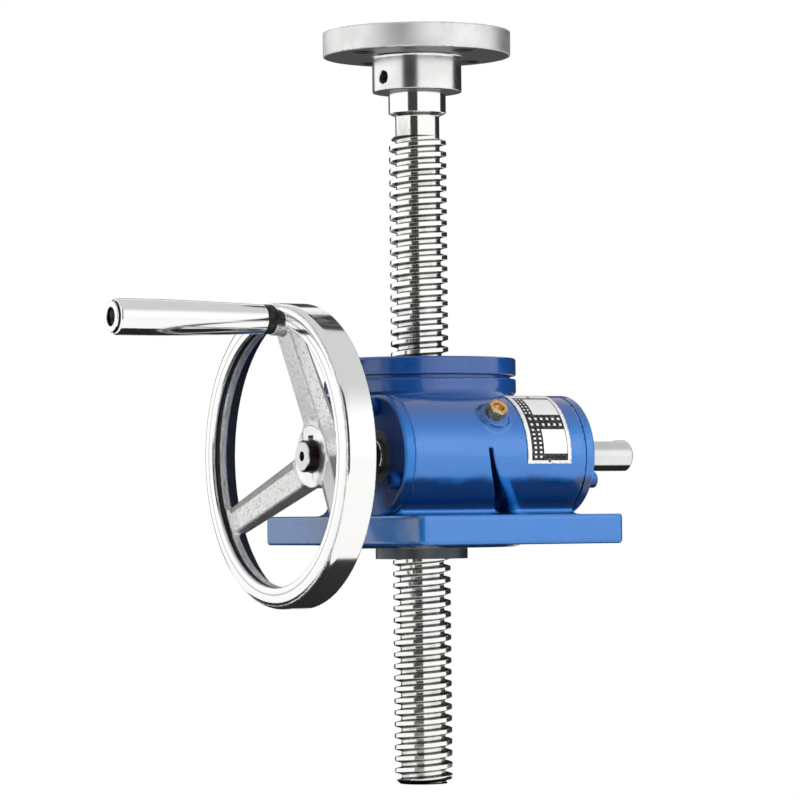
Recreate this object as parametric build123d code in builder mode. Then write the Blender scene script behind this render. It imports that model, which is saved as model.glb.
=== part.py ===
from build123d import *
import math
import os

# Worm screw jack: a hand-cranked worm turns a worm wheel whose threaded bore
# raises or lowers a trapezoidal screw. Millimetres, +Z up.
# The origin is on the screw's axis, in the plane of the base's underside.
# The worm lies along X in front of the screw, at Y = -centre_distance, with
# its handwheel at the -X end and a free shaft end at +X.

# ---- gearing ----
module = 3.0
worm_pitch_d = 30.0
wheel_teeth = 24
pressure_angle = 20.0
backlash = 0.4
tip_clearance = 0.25 * module
worm_thread_length = 40.0
wheel_width = 24.0
centre_distance = (worm_pitch_d + module * wheel_teeth) / 2

# ---- heights ----
worm_z = 45.0
base_thickness = 15.0
floor_z = 20.0
barrel_top = 85.5
cover_top = 96.3

# ---- running and seating clearances ----
running = 0.25
ball_play = 0.2
screw_way_gap = 1.0

# ---- base ----
base_x = 120.0
base_y = 165.0
base_far_y = 62.0
base_corner = 5.0
base_hole_d = 13.0
base_hole_x = 95.0
base_hole_y = 140.0

# ---- barrel and worm housing ----
barrel_d = 97.0
barrel_band_d = 100.0
barrel_band = 7.5
band_blend = 1.5
wheel_chamber_gap = 2.0
worm_housing_d = 62.0
worm_housing_half = 50.5
seam_chamfer = 0.8
chamber_wall = 5.5
# the recess between the bearing bosses: its top corner, its foot and the bend of its right side
pocket_top_x = -4.5
pocket_top_z = 49.5
pocket_left_x = -5.0
pocket_bend_x = 3.0
pocket_bend_z = 33.0
pocket_right_x = 18.0

# ---- oil plug ----
plug_x = 0.0
plug_angle = 40.0
plug_boss_d = 16.0
plug_boss_rise = 2.5
plug_hex = 9.5
plug_head = 5.5
plug_thread_d = 8.0
plug_thread_gap = 0.5

# ---- top cover, wiper and lock screws ----
cover_ring_d = 100.0
cover_ring = 9.3
cover_neck_d = 94.0
cover_edge = 1.2
cover_spigot_drop = 23.5
wiper_d = 44.0
wiper_depth = 6.0
lock_screw_d = 6.0
lock_screw_angles = (60.0, 120.0)
lock_screw_bite = 3.0
lock_screw_sunk = 1.0

# ---- thrust bearings of the worm wheel ----
thrust_bore = 40.0
thrust_d = 60.0
thrust_height = 13.0
thrust_washer = 4.2
thrust_ball_d = 7.0
thrust_balls = 12
thrust_bore_gap = 1.0
thrust_rim_gap = 0.5
journal_gap = 0.5

# ---- guide bush under the base ----
bush_ring_d = 48.0
bush_ring = 7.5
bush_d = 40.0
bush_depth = 14.0

# ---- lifting screw ----
screw_d = 30.0
screw_bottom_z = -124.2
screw_end_chamfer = 2.0
neck_d = 23.0
neck_bottom_z = 212.7
neck_length = 10.5
neck_cone = 1.6
spigot_d = 20.0

# ---- top flange ----
flange_d = 98.0
flange_thickness = 12.2
flange_top_z = 267.3
flange_hub_d = 46.6
flange_hub = 19.4
flange_edge = 1.0
flange_hole_d = 11.0
flange_hole_circle = 75.0
flange_turn = 11.0
grub_d = 8.0
grub_up = 7.0
grub_length = 6.5

# ---- worm shaft and its bearings ----
bearing_bore = 17.0
bearing_d = 40.0
bearing_width = 12.0
bearing_ring = 3.6
bearing_ball_d = 6.6
bearing_balls = 8
shaft_end_d = 16.0
shaft_shoulder_out = 1.0
shaft_left_x = -98.0
shaft_right_x = 94.0
shaft_chamfer = 1.0
key_width = 5.0
key_height = 5.0
key_depth = 3.0
key_length = 18.0
free_key_start = 6.0
free_key_length = 24.0
# the lathe's centre holes, on the ends of the worm shaft and under the lifting screw
centre_d = 5.0
centre_pilot_d = 2.5
centre_depth = 6.0

# ---- end covers and seals ----
end_cover = 5.5
end_cover_spigot = 6.0
end_cover_chamfer = 1.5
end_cover_relief = 0.5
seal_sunk = 1.0
seal_d = 28.0
seal_width = 7.0
seal_lip = 1.2
cover_screw_d = 5.0
cover_screw_circle = 50.0
cover_screw_head_d = 8.5
cover_screw_head = 4.5
cover_screw_depth = 10.0
cover_screw_angles = (90.0, 210.0, 330.0)

# ---- handwheel ----
rim_front_x = -114.8
rim_d = 152.0
rim_depth = 17.0
rim_face = 8.0
rim_wall = 12.5
rim_lip_depth = 11.0
rim_edge = 1.5
rim_shell = 3.0
rim_channel_start = 4.5
hub_front_x = -92.7
hub_d = 32.0
hub_length = 22.5
hub_edge = 1.5
spoke_width_hub = 17.0
spoke_width_rim = 14.0
spoke_thick_hub = 11.0
spoke_thick_rim = 8.0
spoke_inset_hub = 2.0
spoke_round = 3.0
spoke_inset_rim = 5.0
spoke_angles = (90.0, 210.0, 330.0)
set_screw_d = 6.0
set_screw_angle = 230.0
set_screw_sunk = 1.5

# ---- handle ----
handle_inset = 8.0
handle_boss_d = 16.0
handle_collar_d = 14.0
handle_collar = 7.8
sleeve_small_d = 14.5
sleeve_large_d = 18.0
sleeve_length = 80.0
sleeve_end_round = 6.0
spindle_d = 8.0
end_screw_head_d = 9.0
end_screw_head = 2.5
end_screw_d = 4.0
end_screw_depth = 12.0
end_screw_sunk = 2.5
handle_play = 0.3

# ---- nameplate ----
plate_start_x = 15.0
plate_length = 25.8
plate_thickness = 0.5
plate_glue = 0.1
plate_from_angle = 103.5
plate_to_angle = 188.0

# ---- worked-out places ----
worm_y = -centre_distance
wheel_pitch_r = module * wheel_teeth / 2
wheel_tip_r = wheel_pitch_r + module
wheel_root_r = wheel_pitch_r - module - tip_clearance
worm_tip_r = worm_pitch_d / 2 + module
worm_root_r = worm_pitch_d / 2 - module - tip_clearance
worm_pitch = math.pi * module
chamber_r = wheel_tip_r + wheel_chamber_gap
wheel_low_z = worm_z - wheel_width / 2
wheel_high_z = worm_z + wheel_width / 2
upper_bearing_top = wheel_high_z + thrust_height
lower_bearing_bottom = wheel_low_z - thrust_height
nut_bore_r = screw_d / 2 + running
nut_length = upper_bearing_top - lower_bearing_bottom - 2 * journal_gap
screw_way_r = nut_bore_r + screw_way_gap
bearing_outer_x = worm_housing_half - end_cover_spigot
bearing_inner_x = bearing_outer_x - bearing_width
cover_face_x = worm_housing_half + end_cover
shaft_shoulder_x = cover_face_x + shaft_shoulder_out
flange_bottom_z = flange_top_z - flange_thickness
hub_bottom_z = flange_bottom_z - flange_hub
base_centre_y = base_far_y - base_y / 2
handle_z = worm_z + rim_d / 2 - handle_inset
rim_back_x = rim_front_x + rim_depth
hub_back_x = hub_front_x + hub_length
collar_front_x = rim_front_x - handle_collar
sleeve_start_x = collar_front_x - handle_play
sleeve_end_x = sleeve_start_x - sleeve_length
screw_head_x = sleeve_end_x + end_screw_sunk
spindle_end_x = screw_head_x + end_screw_head

worm_axis = Axis((0, worm_y, worm_z), (1, 0, 0))
handle_axis = Axis((0, worm_y, handle_z), (1, 0, 0))
# along X and radially outwards (up) from the worm's or the handle's axis
worm_section = Plane(origin=(0, worm_y, worm_z), x_dir=(1, 0, 0), z_dir=(0, -1, 0))
handle_section = Plane(origin=(0, worm_y, handle_z), x_dir=(1, 0, 0), z_dir=(0, -1, 0))

os.makedirs("parts", exist_ok=True)


def turned(points, plane, axis, mode=Mode.ADD):
    """Turns a closed outline round an axis, in the part that is being built."""
    with BuildSketch(plane) as outline:
        with BuildLine():
            Polyline(*points, close=True)
        make_face()
    revolve(outline.sketch, axis=axis, mode=mode)


def turned_upright(points, mode=Mode.ADD):
    """Turns (radius, height) points round the lifting screw's axis."""
    turned(points, Plane.XZ, Axis.Z, mode)


def turned_on_worm(points, mode=Mode.ADD):
    """Turns (along X, radius) points round the worm's axis."""
    turned(points, worm_section, worm_axis, mode)


def across_worm(x):
    """A plane across the worm's axis: its x is Y and its y is Z."""
    return Plane(origin=(x, worm_y, worm_z), x_dir=(0, 1, 0), z_dir=(1, 0, 0))


def outward_from_worm(x, angle, radius):
    """A plane at a radius from the worm's axis that faces outwards at an angle
    from +Y towards +Z, with its y along X."""
    y = math.cos(math.radians(angle))
    z = math.sin(math.radians(angle))
    at = (x, worm_y + radius * y, worm_z + radius * z)
    return Plane(origin=at, x_dir=(0, z, -y), z_dir=(0, y, z))


def outward_from_screw(height, angle, radius):
    """A plane at a radius from the screw's axis that faces outwards at an angle."""
    x = math.cos(math.radians(angle))
    y = math.sin(math.radians(angle))
    return Plane(origin=(radius * x, radius * y, height), x_dir=(-y, x, 0), z_dir=(x, y, 0))


def on_circle(radius, angle):
    """A point on a circle, at an angle in degrees."""
    turn = math.radians(angle)
    return (radius * math.cos(turn), radius * math.sin(turn))


def centre_hole(end, inwards, height_first=True):
    """The half outline of a 60 degree centre hole, from an end face inwards."""
    cone = (centre_d - centre_pilot_d) / 2 / math.tan(math.radians(30))
    points = [
        (end, 0),
        (end, centre_d / 2),
        (end + inwards * cone, centre_pilot_d / 2),
        (end + inwards * centre_depth, centre_pilot_d / 2),
        (end + inwards * centre_depth, 0),
    ]
    return points if height_first else [(radius, height) for height, radius in points]


def finish(made, name):
    """Names a finished piece and writes it."""
    made.part.label = name
    export_step(made.part, f"parts/{name}.step")


# ---- housing: base, barrel and cross cylinder in one casting ----
lock_screw_z = barrel_top - barrel_band / 2
lock_screw_reach = barrel_band_d / 2 - chamber_r + lock_screw_bite
plug_seat_r = worm_housing_d / 2 + plug_boss_rise
# the filling hole opens into the worm's bore, and the plug ends just above it
plug_thread = plug_seat_r - bearing_d / 2

with BuildPart() as pocket:
    # the waist between the two bearing bosses, open at the front and narrow at the top
    with BuildSketch(Plane.XZ.offset(-worm_y)):
        with BuildLine():
            Polyline(
                (pocket_top_x, pocket_top_z),
                (pocket_left_x, base_thickness),
                (pocket_right_x, base_thickness),
                (pocket_bend_x, pocket_bend_z),
                close=True,
            )
        make_face()
    extrude(amount=worm_housing_d)
    with BuildSketch(across_worm(-base_x)):
        Circle(bearing_d / 2 + chamber_wall)
    extrude(amount=2 * base_x, mode=Mode.SUBTRACT)

with BuildPart() as housing:
    with BuildSketch():
        with Locations((0, base_centre_y)):
            RectangleRounded(base_x, base_y, base_corner)
    extrude(amount=base_thickness)
    turned_upright(
        [
            (0, 0),
            (barrel_d / 2, 0),
            (barrel_d / 2, barrel_top - barrel_band - band_blend),
            (barrel_band_d / 2, barrel_top - barrel_band),
            (barrel_band_d / 2, barrel_top),
            (0, barrel_top),
        ]
    )
    turned_on_worm(
        [
            (-worm_housing_half, 0),
            (-worm_housing_half, worm_housing_d / 2 - seam_chamfer),
            (-worm_housing_half + seam_chamfer, worm_housing_d / 2),
            (worm_housing_half - seam_chamfer, worm_housing_d / 2),
            (worm_housing_half, worm_housing_d / 2 - seam_chamfer),
            (worm_housing_half, 0),
        ]
    )
    with BuildSketch(outward_from_worm(plug_x, 180 - plug_angle, plug_seat_r)):
        Circle(plug_boss_d / 2)
    extrude(amount=-plug_boss_d / 2)
    add(pocket.part, mode=Mode.SUBTRACT)
    # the end covers dip into the base plate, with a little room round them
    for side in (-1, 1):
        with BuildSketch(across_worm(side * worm_housing_half)):
            Circle(worm_housing_d / 2 + end_cover_relief)
        extrude(amount=side * (end_cover + end_cover_relief), mode=Mode.SUBTRACT)
    # line bore of the worm and its bearings
    with BuildSketch(across_worm(-worm_housing_half)):
        Circle(bearing_d / 2)
    extrude(amount=2 * worm_housing_half, mode=Mode.SUBTRACT)
    # wheel chamber, lower thrust bearing's seat and the bores below it
    turned_upright(
        [
            (0, -1),
            (bush_d / 2, -1),
            (bush_d / 2, bush_depth),
            (screw_way_r, bush_depth),
            (screw_way_r, lower_bearing_bottom),
            (thrust_d / 2, lower_bearing_bottom),
            (thrust_d / 2, wheel_low_z - wheel_chamber_gap),
            (chamber_r, wheel_low_z - wheel_chamber_gap),
            (chamber_r, barrel_top + 1),
            (0, barrel_top + 1),
        ],
        mode=Mode.SUBTRACT,
    )
    with BuildSketch():
        with Locations((0, base_centre_y)):
            with GridLocations(base_hole_x, base_hole_y, 2, 2):
                Circle(base_hole_d / 2)
    extrude(amount=base_thickness, mode=Mode.SUBTRACT)
    with BuildSketch(outward_from_worm(plug_x, 180 - plug_angle, plug_seat_r)):
        Circle(plug_thread_d / 2)
    extrude(amount=-plug_thread - 1, mode=Mode.SUBTRACT)
    for lock_angle in lock_screw_angles:
        with BuildSketch(outward_from_screw(lock_screw_z, lock_angle, barrel_band_d / 2)):
            Circle(lock_screw_d / 2)
        extrude(amount=-lock_screw_reach, mode=Mode.SUBTRACT)
    # tapped holes for the end covers' screws
    for side in (-1, 1):
        with BuildSketch(across_worm(side * worm_housing_half)):
            for screw_angle in cover_screw_angles:
                with Locations(on_circle(cover_screw_circle / 2, screw_angle)):
                    Circle(cover_screw_d / 2)
        extrude(amount=-side * cover_screw_depth, mode=Mode.SUBTRACT)
finish(housing, "housing")

# ---- top cover, with the upper thrust bearing's seat and the wiper's recess ----
with BuildPart() as top_cover:
    turned_upright(
        [
            (thrust_d / 2, barrel_top - cover_spigot_drop),
            (chamber_r, barrel_top - cover_spigot_drop),
            (chamber_r, barrel_top),
            (cover_neck_d / 2, barrel_top),
            (cover_neck_d / 2, cover_top - cover_ring),
            (cover_ring_d / 2, cover_top - cover_ring),
            (cover_ring_d / 2, cover_top - cover_edge),
            (cover_ring_d / 2 - cover_edge, cover_top),
            (wiper_d / 2, cover_top),
            (wiper_d / 2, cover_top - wiper_depth),
            (screw_way_r, cover_top - wiper_depth),
            (screw_way_r, upper_bearing_top),
            (thrust_d / 2, upper_bearing_top),
        ]
    )
    for lock_angle in lock_screw_angles:
        with BuildSketch(outward_from_screw(lock_screw_z, lock_angle, chamber_r)):
            Circle(lock_screw_d / 2)
        extrude(amount=-lock_screw_bite, mode=Mode.SUBTRACT)
finish(top_cover, "top_cover")

with BuildPart() as cover_lock_screws:
    for lock_angle in lock_screw_angles:
        with BuildSketch(outward_from_screw(lock_screw_z, lock_angle, chamber_r - lock_screw_bite)):
            Circle(lock_screw_d / 2)
        extrude(amount=lock_screw_reach - lock_screw_sunk)
finish(cover_lock_screws, "cover_lock_screws")

with BuildPart() as screw_wiper:
    turned_upright(
        [
            (nut_bore_r, cover_top - wiper_depth),
            (wiper_d / 2, cover_top - wiper_depth),
            (wiper_d / 2, cover_top),
            (nut_bore_r + 2, cover_top),
            (nut_bore_r, cover_top - wiper_depth / 2),
        ]
    )
finish(screw_wiper, "screw_wiper")

with BuildPart() as guide_bush:
    turned_upright(
        [
            (nut_bore_r, -bush_ring),
            (bush_ring_d / 2, -bush_ring),
            (bush_ring_d / 2, 0),
            (bush_d / 2, 0),
            (bush_d / 2, bush_depth),
            (nut_bore_r, bush_depth),
        ]
    )
finish(guide_bush, "guide_bush")

# ---- thrust bearings: two washers with a ball race each, and a ring of balls ----
thrust_ball_r = (thrust_bore + thrust_d) / 4
race_r = thrust_ball_d / 2 + ball_play


def thrust_washer_ring(z, inner_r, outer_r, ball_z):
    """One washer, from z upwards, with its race cut by the balls' path."""
    turned_upright(
        [
            (inner_r, z),
            (outer_r, z),
            (outer_r, z + thrust_washer),
            (inner_r, z + thrust_washer),
        ]
    )
    with BuildSketch(Plane.XZ) as race:
        with Locations((thrust_ball_r, ball_z)):
            Circle(race_r)
    revolve(race.sketch, axis=Axis.Z, mode=Mode.SUBTRACT)


for place, low_z in (("lower", lower_bearing_bottom), ("upper", wheel_high_z)):
    high_z = low_z + thrust_height - thrust_washer
    middle_z = low_z + thrust_height / 2
    # the washer against the wheel grips its journal; the other one stays in the housing
    wheel_side_z = high_z if place == "lower" else low_z
    housing_side_z = low_z if place == "lower" else high_z
    with BuildPart() as shaft_washer:
        thrust_washer_ring(wheel_side_z, thrust_bore / 2, thrust_d / 2 - thrust_rim_gap, middle_z)
    finish(shaft_washer, f"{place}_shaft_washer")
    with BuildPart() as housing_washer:
        thrust_washer_ring(housing_side_z, thrust_bore / 2 + thrust_bore_gap, thrust_d / 2, middle_z)
    finish(housing_washer, f"{place}_housing_washer")
    with BuildPart() as balls:
        with Locations((0, 0, middle_z)):
            with PolarLocations(thrust_ball_r, thrust_balls):
                Sphere(thrust_ball_d / 2)
    finish(balls, f"{place}_thrust_balls")

# ---- worm wheel: involute teeth, twisted to the worm's lead angle ----
lead_tangent = module / worm_pitch_d
half_twist = math.degrees(wheel_width / 2 * lead_tangent / wheel_pitch_r)
base_circle_r = wheel_pitch_r * math.cos(math.radians(pressure_angle))
flank_steps = 4


def involute(angle):
    return math.tan(angle) - angle


def half_tooth(radius):
    """Half of a tooth's angular thickness, in degrees, at a radius."""
    at_pitch = (worm_pitch / 2 - backlash / 2) / (2 * wheel_pitch_r)
    lean = math.acos(min(1.0, base_circle_r / radius))
    swell = involute(math.radians(pressure_angle)) - involute(lean)
    return math.degrees(at_pitch + swell)


def tooth_outline(centre):
    """One tooth's points, from root to tip and back to root."""
    step = (wheel_tip_r - base_circle_r) / (flank_steps - 1)
    radii = [base_circle_r + step * i for i in range(flank_steps)]
    rising = [on_circle(r, centre - half_tooth(r)) for r in radii]
    falling = [on_circle(r, centre + half_tooth(r)) for r in reversed(radii)]
    foot = half_tooth(base_circle_r)
    return [
        on_circle(wheel_root_r, centre - foot),
        *rising,
        *falling,
        on_circle(wheel_root_r, centre + foot),
    ]


def wheel_outline(turn):
    """The whole toothed outline, with a tooth space towards the worm at turn 0."""
    pitch_angle = 360 / wheel_teeth
    points = []
    for tooth in range(wheel_teeth):
        points += tooth_outline(-90 + turn + (tooth + 0.5) * pitch_angle)
    return points


with BuildPart() as worm_wheel:
    for height, turn in ((wheel_low_z, -half_twist), (wheel_high_z, half_twist)):
        with BuildSketch(Plane.XY.offset(height)):
            with BuildLine():
                Polyline(*wheel_outline(turn), close=True)
            make_face()
    loft(ruled=True)
    # the journals of the two thrust bearings, and the bore that the screw runs in
    for radius, mode in ((thrust_bore / 2, Mode.ADD), (nut_bore_r, Mode.SUBTRACT)):
        with BuildSketch(Plane.XY.offset(lower_bearing_bottom + journal_gap)):
            Circle(radius)
        extrude(amount=nut_length, mode=mode)
finish(worm_wheel, "worm_wheel")

# ---- lifting screw (its thread's envelope), top flange and grub screw ----
neck_top_z = neck_bottom_z + neck_length

with BuildPart() as lifting_screw:
    turned_upright(
        [
            (0, screw_bottom_z),
            (screw_d / 2 - screw_end_chamfer, screw_bottom_z),
            (screw_d / 2, screw_bottom_z + screw_end_chamfer),
            (screw_d / 2, neck_bottom_z),
            (neck_d / 2, neck_bottom_z),
            (neck_d / 2, neck_top_z),
            (screw_d / 2, neck_top_z + neck_cone),
            (screw_d / 2, hub_bottom_z),
            (spigot_d / 2, hub_bottom_z),
            (spigot_d / 2, flange_top_z),
            (0, flange_top_z),
        ]
    )
    turned_upright(centre_hole(screw_bottom_z, 1, height_first=False), mode=Mode.SUBTRACT)
finish(lifting_screw, "lifting_screw")

with BuildPart() as top_flange:
    turned_upright(
        [
            (spigot_d / 2, hub_bottom_z),
            (flange_hub_d / 2 - flange_edge, hub_bottom_z),
            (flange_hub_d / 2, hub_bottom_z + flange_edge),
            (flange_hub_d / 2, flange_bottom_z),
            (flange_d / 2 - flange_edge, flange_bottom_z),
            (flange_d / 2, flange_bottom_z + flange_edge),
            (flange_d / 2, flange_top_z - flange_edge),
            (flange_d / 2 - flange_edge, flange_top_z),
            (spigot_d / 2, flange_top_z),
        ]
    )
    with BuildSketch(Plane.XY.offset(flange_bottom_z)):
        with PolarLocations(flange_hole_circle / 2, 4, start_angle=flange_turn):
            Circle(flange_hole_d / 2)
    extrude(amount=flange_thickness, mode=Mode.SUBTRACT)
    with BuildSketch(outward_from_screw(hub_bottom_z + grub_up, 180 + flange_turn, 0)):
        Circle(grub_d / 2)
    extrude(amount=flange_hub_d / 2, mode=Mode.SUBTRACT)
    with BuildSketch(Plane.XY.offset(hub_bottom_z)):
        Circle(spigot_d / 2)
    extrude(amount=flange_hub + flange_thickness, mode=Mode.SUBTRACT)
finish(top_flange, "top_flange")

with BuildPart() as flange_grub_screw:
    with BuildSketch(outward_from_screw(hub_bottom_z + grub_up, 180 + flange_turn, 0)):
        Circle(grub_d / 2)
    extrude(amount=spigot_d / 2 + grub_length)
    with BuildSketch(Plane.XY.offset(hub_bottom_z)):
        Circle(spigot_d / 2)
    extrude(amount=flange_hub + flange_thickness, mode=Mode.SUBTRACT)
finish(flange_grub_screw, "flange_grub_screw")

# ---- worm shaft: a single-start worm with bearing seats and keyed ends ----
key_floor_r = shaft_end_d / 2 - key_depth
key_start_x = (hub_front_x + hub_back_x - key_length) / 2

thread_turns = math.ceil(worm_thread_length / worm_pitch / 2) + 1
thread_half = (worm_pitch / 2 - backlash / 2) / 2
flank_slope = math.tan(math.radians(pressure_angle))
thread_foot_r = worm_root_r - 0.5
# a thread crest stands at X = 0 on the wheel's side
path_start_x = (0.25 - thread_turns) * worm_pitch


def thread_edge(side, radius):
    """A corner of the thread's section, which narrows towards its crest."""
    half = thread_half - (radius - worm_pitch_d / 2) * flank_slope
    return (path_start_x + side * half, radius)


with BuildLine() as worm_path:
    Helix(
        pitch=worm_pitch,
        height=2 * thread_turns * worm_pitch,
        radius=worm_pitch_d / 2,
        center=(path_start_x, worm_y, worm_z),
        direction=(1, 0, 0),
    )

with BuildPart() as worm_shaft:
    with BuildSketch(worm_section) as thread_section:
        with BuildLine():
            Polyline(
                thread_edge(-1, thread_foot_r),
                thread_edge(-1, worm_tip_r),
                thread_edge(1, worm_tip_r),
                thread_edge(1, thread_foot_r),
                close=True,
            )
        make_face()
    sweep(thread_section.sketch, path=worm_path.line, is_frenet=True)
    # the thread ends with the worm, on chamfered faces
    turned_on_worm(
        [
            (-worm_thread_length / 2, 0),
            (-worm_thread_length / 2, worm_root_r),
            (-worm_thread_length / 2 + module, worm_tip_r + 1),
            (worm_thread_length / 2 - module, worm_tip_r + 1),
            (worm_thread_length / 2, worm_root_r),
            (worm_thread_length / 2, 0),
        ],
        mode=Mode.INTERSECT,
    )
    turned_on_worm(
        [
            (shaft_left_x, 0),
            (shaft_left_x, shaft_end_d / 2 - shaft_chamfer),
            (shaft_left_x + shaft_chamfer, shaft_end_d / 2),
            (-shaft_shoulder_x, shaft_end_d / 2),
            (-shaft_shoulder_x, bearing_bore / 2),
            (-bearing_inner_x, bearing_bore / 2),
            (-bearing_inner_x, worm_root_r),
            (bearing_inner_x, worm_root_r),
            (bearing_inner_x, bearing_bore / 2),
            (shaft_shoulder_x, bearing_bore / 2),
            (shaft_shoulder_x, shaft_end_d / 2),
            (shaft_right_x - shaft_chamfer, shaft_end_d / 2),
            (shaft_right_x, shaft_end_d / 2 - shaft_chamfer),
            (shaft_right_x, 0),
        ]
    )
    for end_x, inwards in ((shaft_left_x, 1), (shaft_right_x, -1)):
        turned_on_worm(centre_hole(end_x, inwards), mode=Mode.SUBTRACT)
    # the handwheel's keyway, and a closed one on the free end
    free_key_x = shaft_right_x - free_key_start - free_key_length
    for start_x, length in ((key_start_x, key_length), (free_key_x, free_key_length)):
        with BuildSketch(Plane.XY.offset(worm_z + key_floor_r)):
            with Locations((start_x + length / 2, worm_y)):
                SlotOverall(length, key_width)
        extrude(amount=key_depth + 1, mode=Mode.SUBTRACT)
finish(worm_shaft, "worm_shaft")

# ---- ball bearings of the worm shaft ----
race_d = (bearing_bore + bearing_d) / 2
groove_r = bearing_ball_d / 2 + ball_play

for side_name, side in (("left", -1), ("right", 1)):
    middle_x = side * (bearing_inner_x + bearing_outer_x) / 2
    rings = (
        ("inner", bearing_bore / 2, bearing_bore / 2 + bearing_ring),
        ("outer", bearing_d / 2 - bearing_ring, bearing_d / 2),
    )
    for ring_name, inner_r, outer_r in rings:
        with BuildPart() as bearing_ring_part:
            turned_on_worm(
                [
                    (middle_x - bearing_width / 2, inner_r),
                    (middle_x + bearing_width / 2, inner_r),
                    (middle_x + bearing_width / 2, outer_r),
                    (middle_x - bearing_width / 2, outer_r),
                ]
            )
            with BuildSketch(worm_section) as race:
                with Locations((middle_x, race_d / 2)):
                    Circle(groove_r)
            revolve(race.sketch, axis=worm_axis, mode=Mode.SUBTRACT)
        finish(bearing_ring_part, f"{side_name}_bearing_{ring_name}_ring")
    with BuildPart() as balls:
        with Locations(across_worm(middle_x)):
            with PolarLocations(race_d / 2, bearing_balls):
                Sphere(bearing_ball_d / 2)
    finish(balls, f"{side_name}_bearing_balls")

# ---- end covers, shaft seals and cover screws ----
for side_name, side in (("left", -1), ("right", 1)):
    with BuildPart() as end_cover_part:
        turned_on_worm(
            [
                (side * bearing_outer_x, seal_d / 2),
                (side * bearing_outer_x, bearing_d / 2),
                (side * worm_housing_half, bearing_d / 2),
                (side * worm_housing_half, worm_housing_d / 2 - seam_chamfer),
                (side * (worm_housing_half + seam_chamfer), worm_housing_d / 2),
                (side * (cover_face_x - end_cover_chamfer), worm_housing_d / 2),
                (side * cover_face_x, worm_housing_d / 2 - end_cover_chamfer),
                (side * cover_face_x, seal_d / 2),
            ]
        )
        with BuildSketch(across_worm(side * worm_housing_half)):
            for screw_angle in cover_screw_angles:
                with Locations(on_circle(cover_screw_circle / 2, screw_angle)):
                    Circle(cover_screw_d / 2)
        extrude(amount=side * end_cover, mode=Mode.SUBTRACT)
    finish(end_cover_part, f"{side_name}_end_cover")
    seal_out_x = side * (cover_face_x - seal_sunk)
    seal_x = seal_out_x - side * seal_width
    seal_bore_r = bearing_bore / 2 + running
    with BuildPart() as oil_seal:
        turned_on_worm(
            [
                (seal_x, seal_bore_r + seal_lip),
                (seal_x, seal_d / 2),
                (seal_out_x, seal_d / 2),
                (seal_out_x, seal_bore_r),
                (seal_out_x - side * seal_lip, seal_bore_r),
            ]
        )
    finish(oil_seal, f"{side_name}_oil_seal")

with BuildPart() as end_cover_screws:
    for side in (-1, 1):
        with BuildSketch(across_worm(side * (worm_housing_half - cover_screw_depth))):
            for screw_angle in cover_screw_angles:
                with Locations(on_circle(cover_screw_circle / 2, screw_angle)):
                    Circle(cover_screw_d / 2)
        extrude(amount=side * (cover_screw_depth + end_cover))
        with BuildSketch(across_worm(side * cover_face_x)):
            for screw_angle in cover_screw_angles:
                with Locations(on_circle(cover_screw_circle / 2, screw_angle)):
                    Circle(cover_screw_head_d / 2)
        extrude(amount=side * cover_screw_head)
finish(end_cover_screws, "end_cover_screws")

# ---- oil plug and nameplate ----
with BuildPart() as oil_plug:
    with BuildSketch(outward_from_worm(plug_x, 180 - plug_angle, plug_seat_r)):
        RegularPolygon(plug_hex / 2, 6, major_radius=False)
    extrude(amount=plug_head)
    with BuildSketch(outward_from_worm(plug_x, 180 - plug_angle, plug_seat_r)):
        Circle(plug_thread_d / 2)
    extrude(amount=-(plug_thread - plug_thread_gap))
finish(oil_plug, "oil_plug")

with BuildPart() as nameplate:
    plate_inner_r = worm_housing_d / 2 + plate_glue
    plate_outer_r = plate_inner_r + plate_thickness
    with BuildSketch(across_worm(plate_start_x)):
        with BuildLine():
            CenterArc((0, 0), plate_outer_r, plate_from_angle, plate_to_angle - plate_from_angle)
            CenterArc((0, 0), plate_inner_r, plate_from_angle, plate_to_angle - plate_from_angle)
            for plate_angle in (plate_from_angle, plate_to_angle):
                Line(on_circle(plate_inner_r, plate_angle), on_circle(plate_outer_r, plate_angle))
        make_face()
    extrude(amount=plate_length)
finish(nameplate, "nameplate")

# ---- handwheel: a dished casting with three spokes ----
rim_r = rim_d / 2
rim_inner_r = rim_r - rim_wall
spoke_root_x = hub_front_x + spoke_inset_hub + spoke_thick_hub / 2
spoke_tip_x = rim_front_x + spoke_inset_rim + spoke_thick_rim / 2
spoke_root_r = hub_d / 2 - 5
spoke_tip_r = rim_inner_r + 2
set_screw_x = (hub_front_x + hub_back_x) / 2
hub_key_r = key_floor_r + key_height

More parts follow.
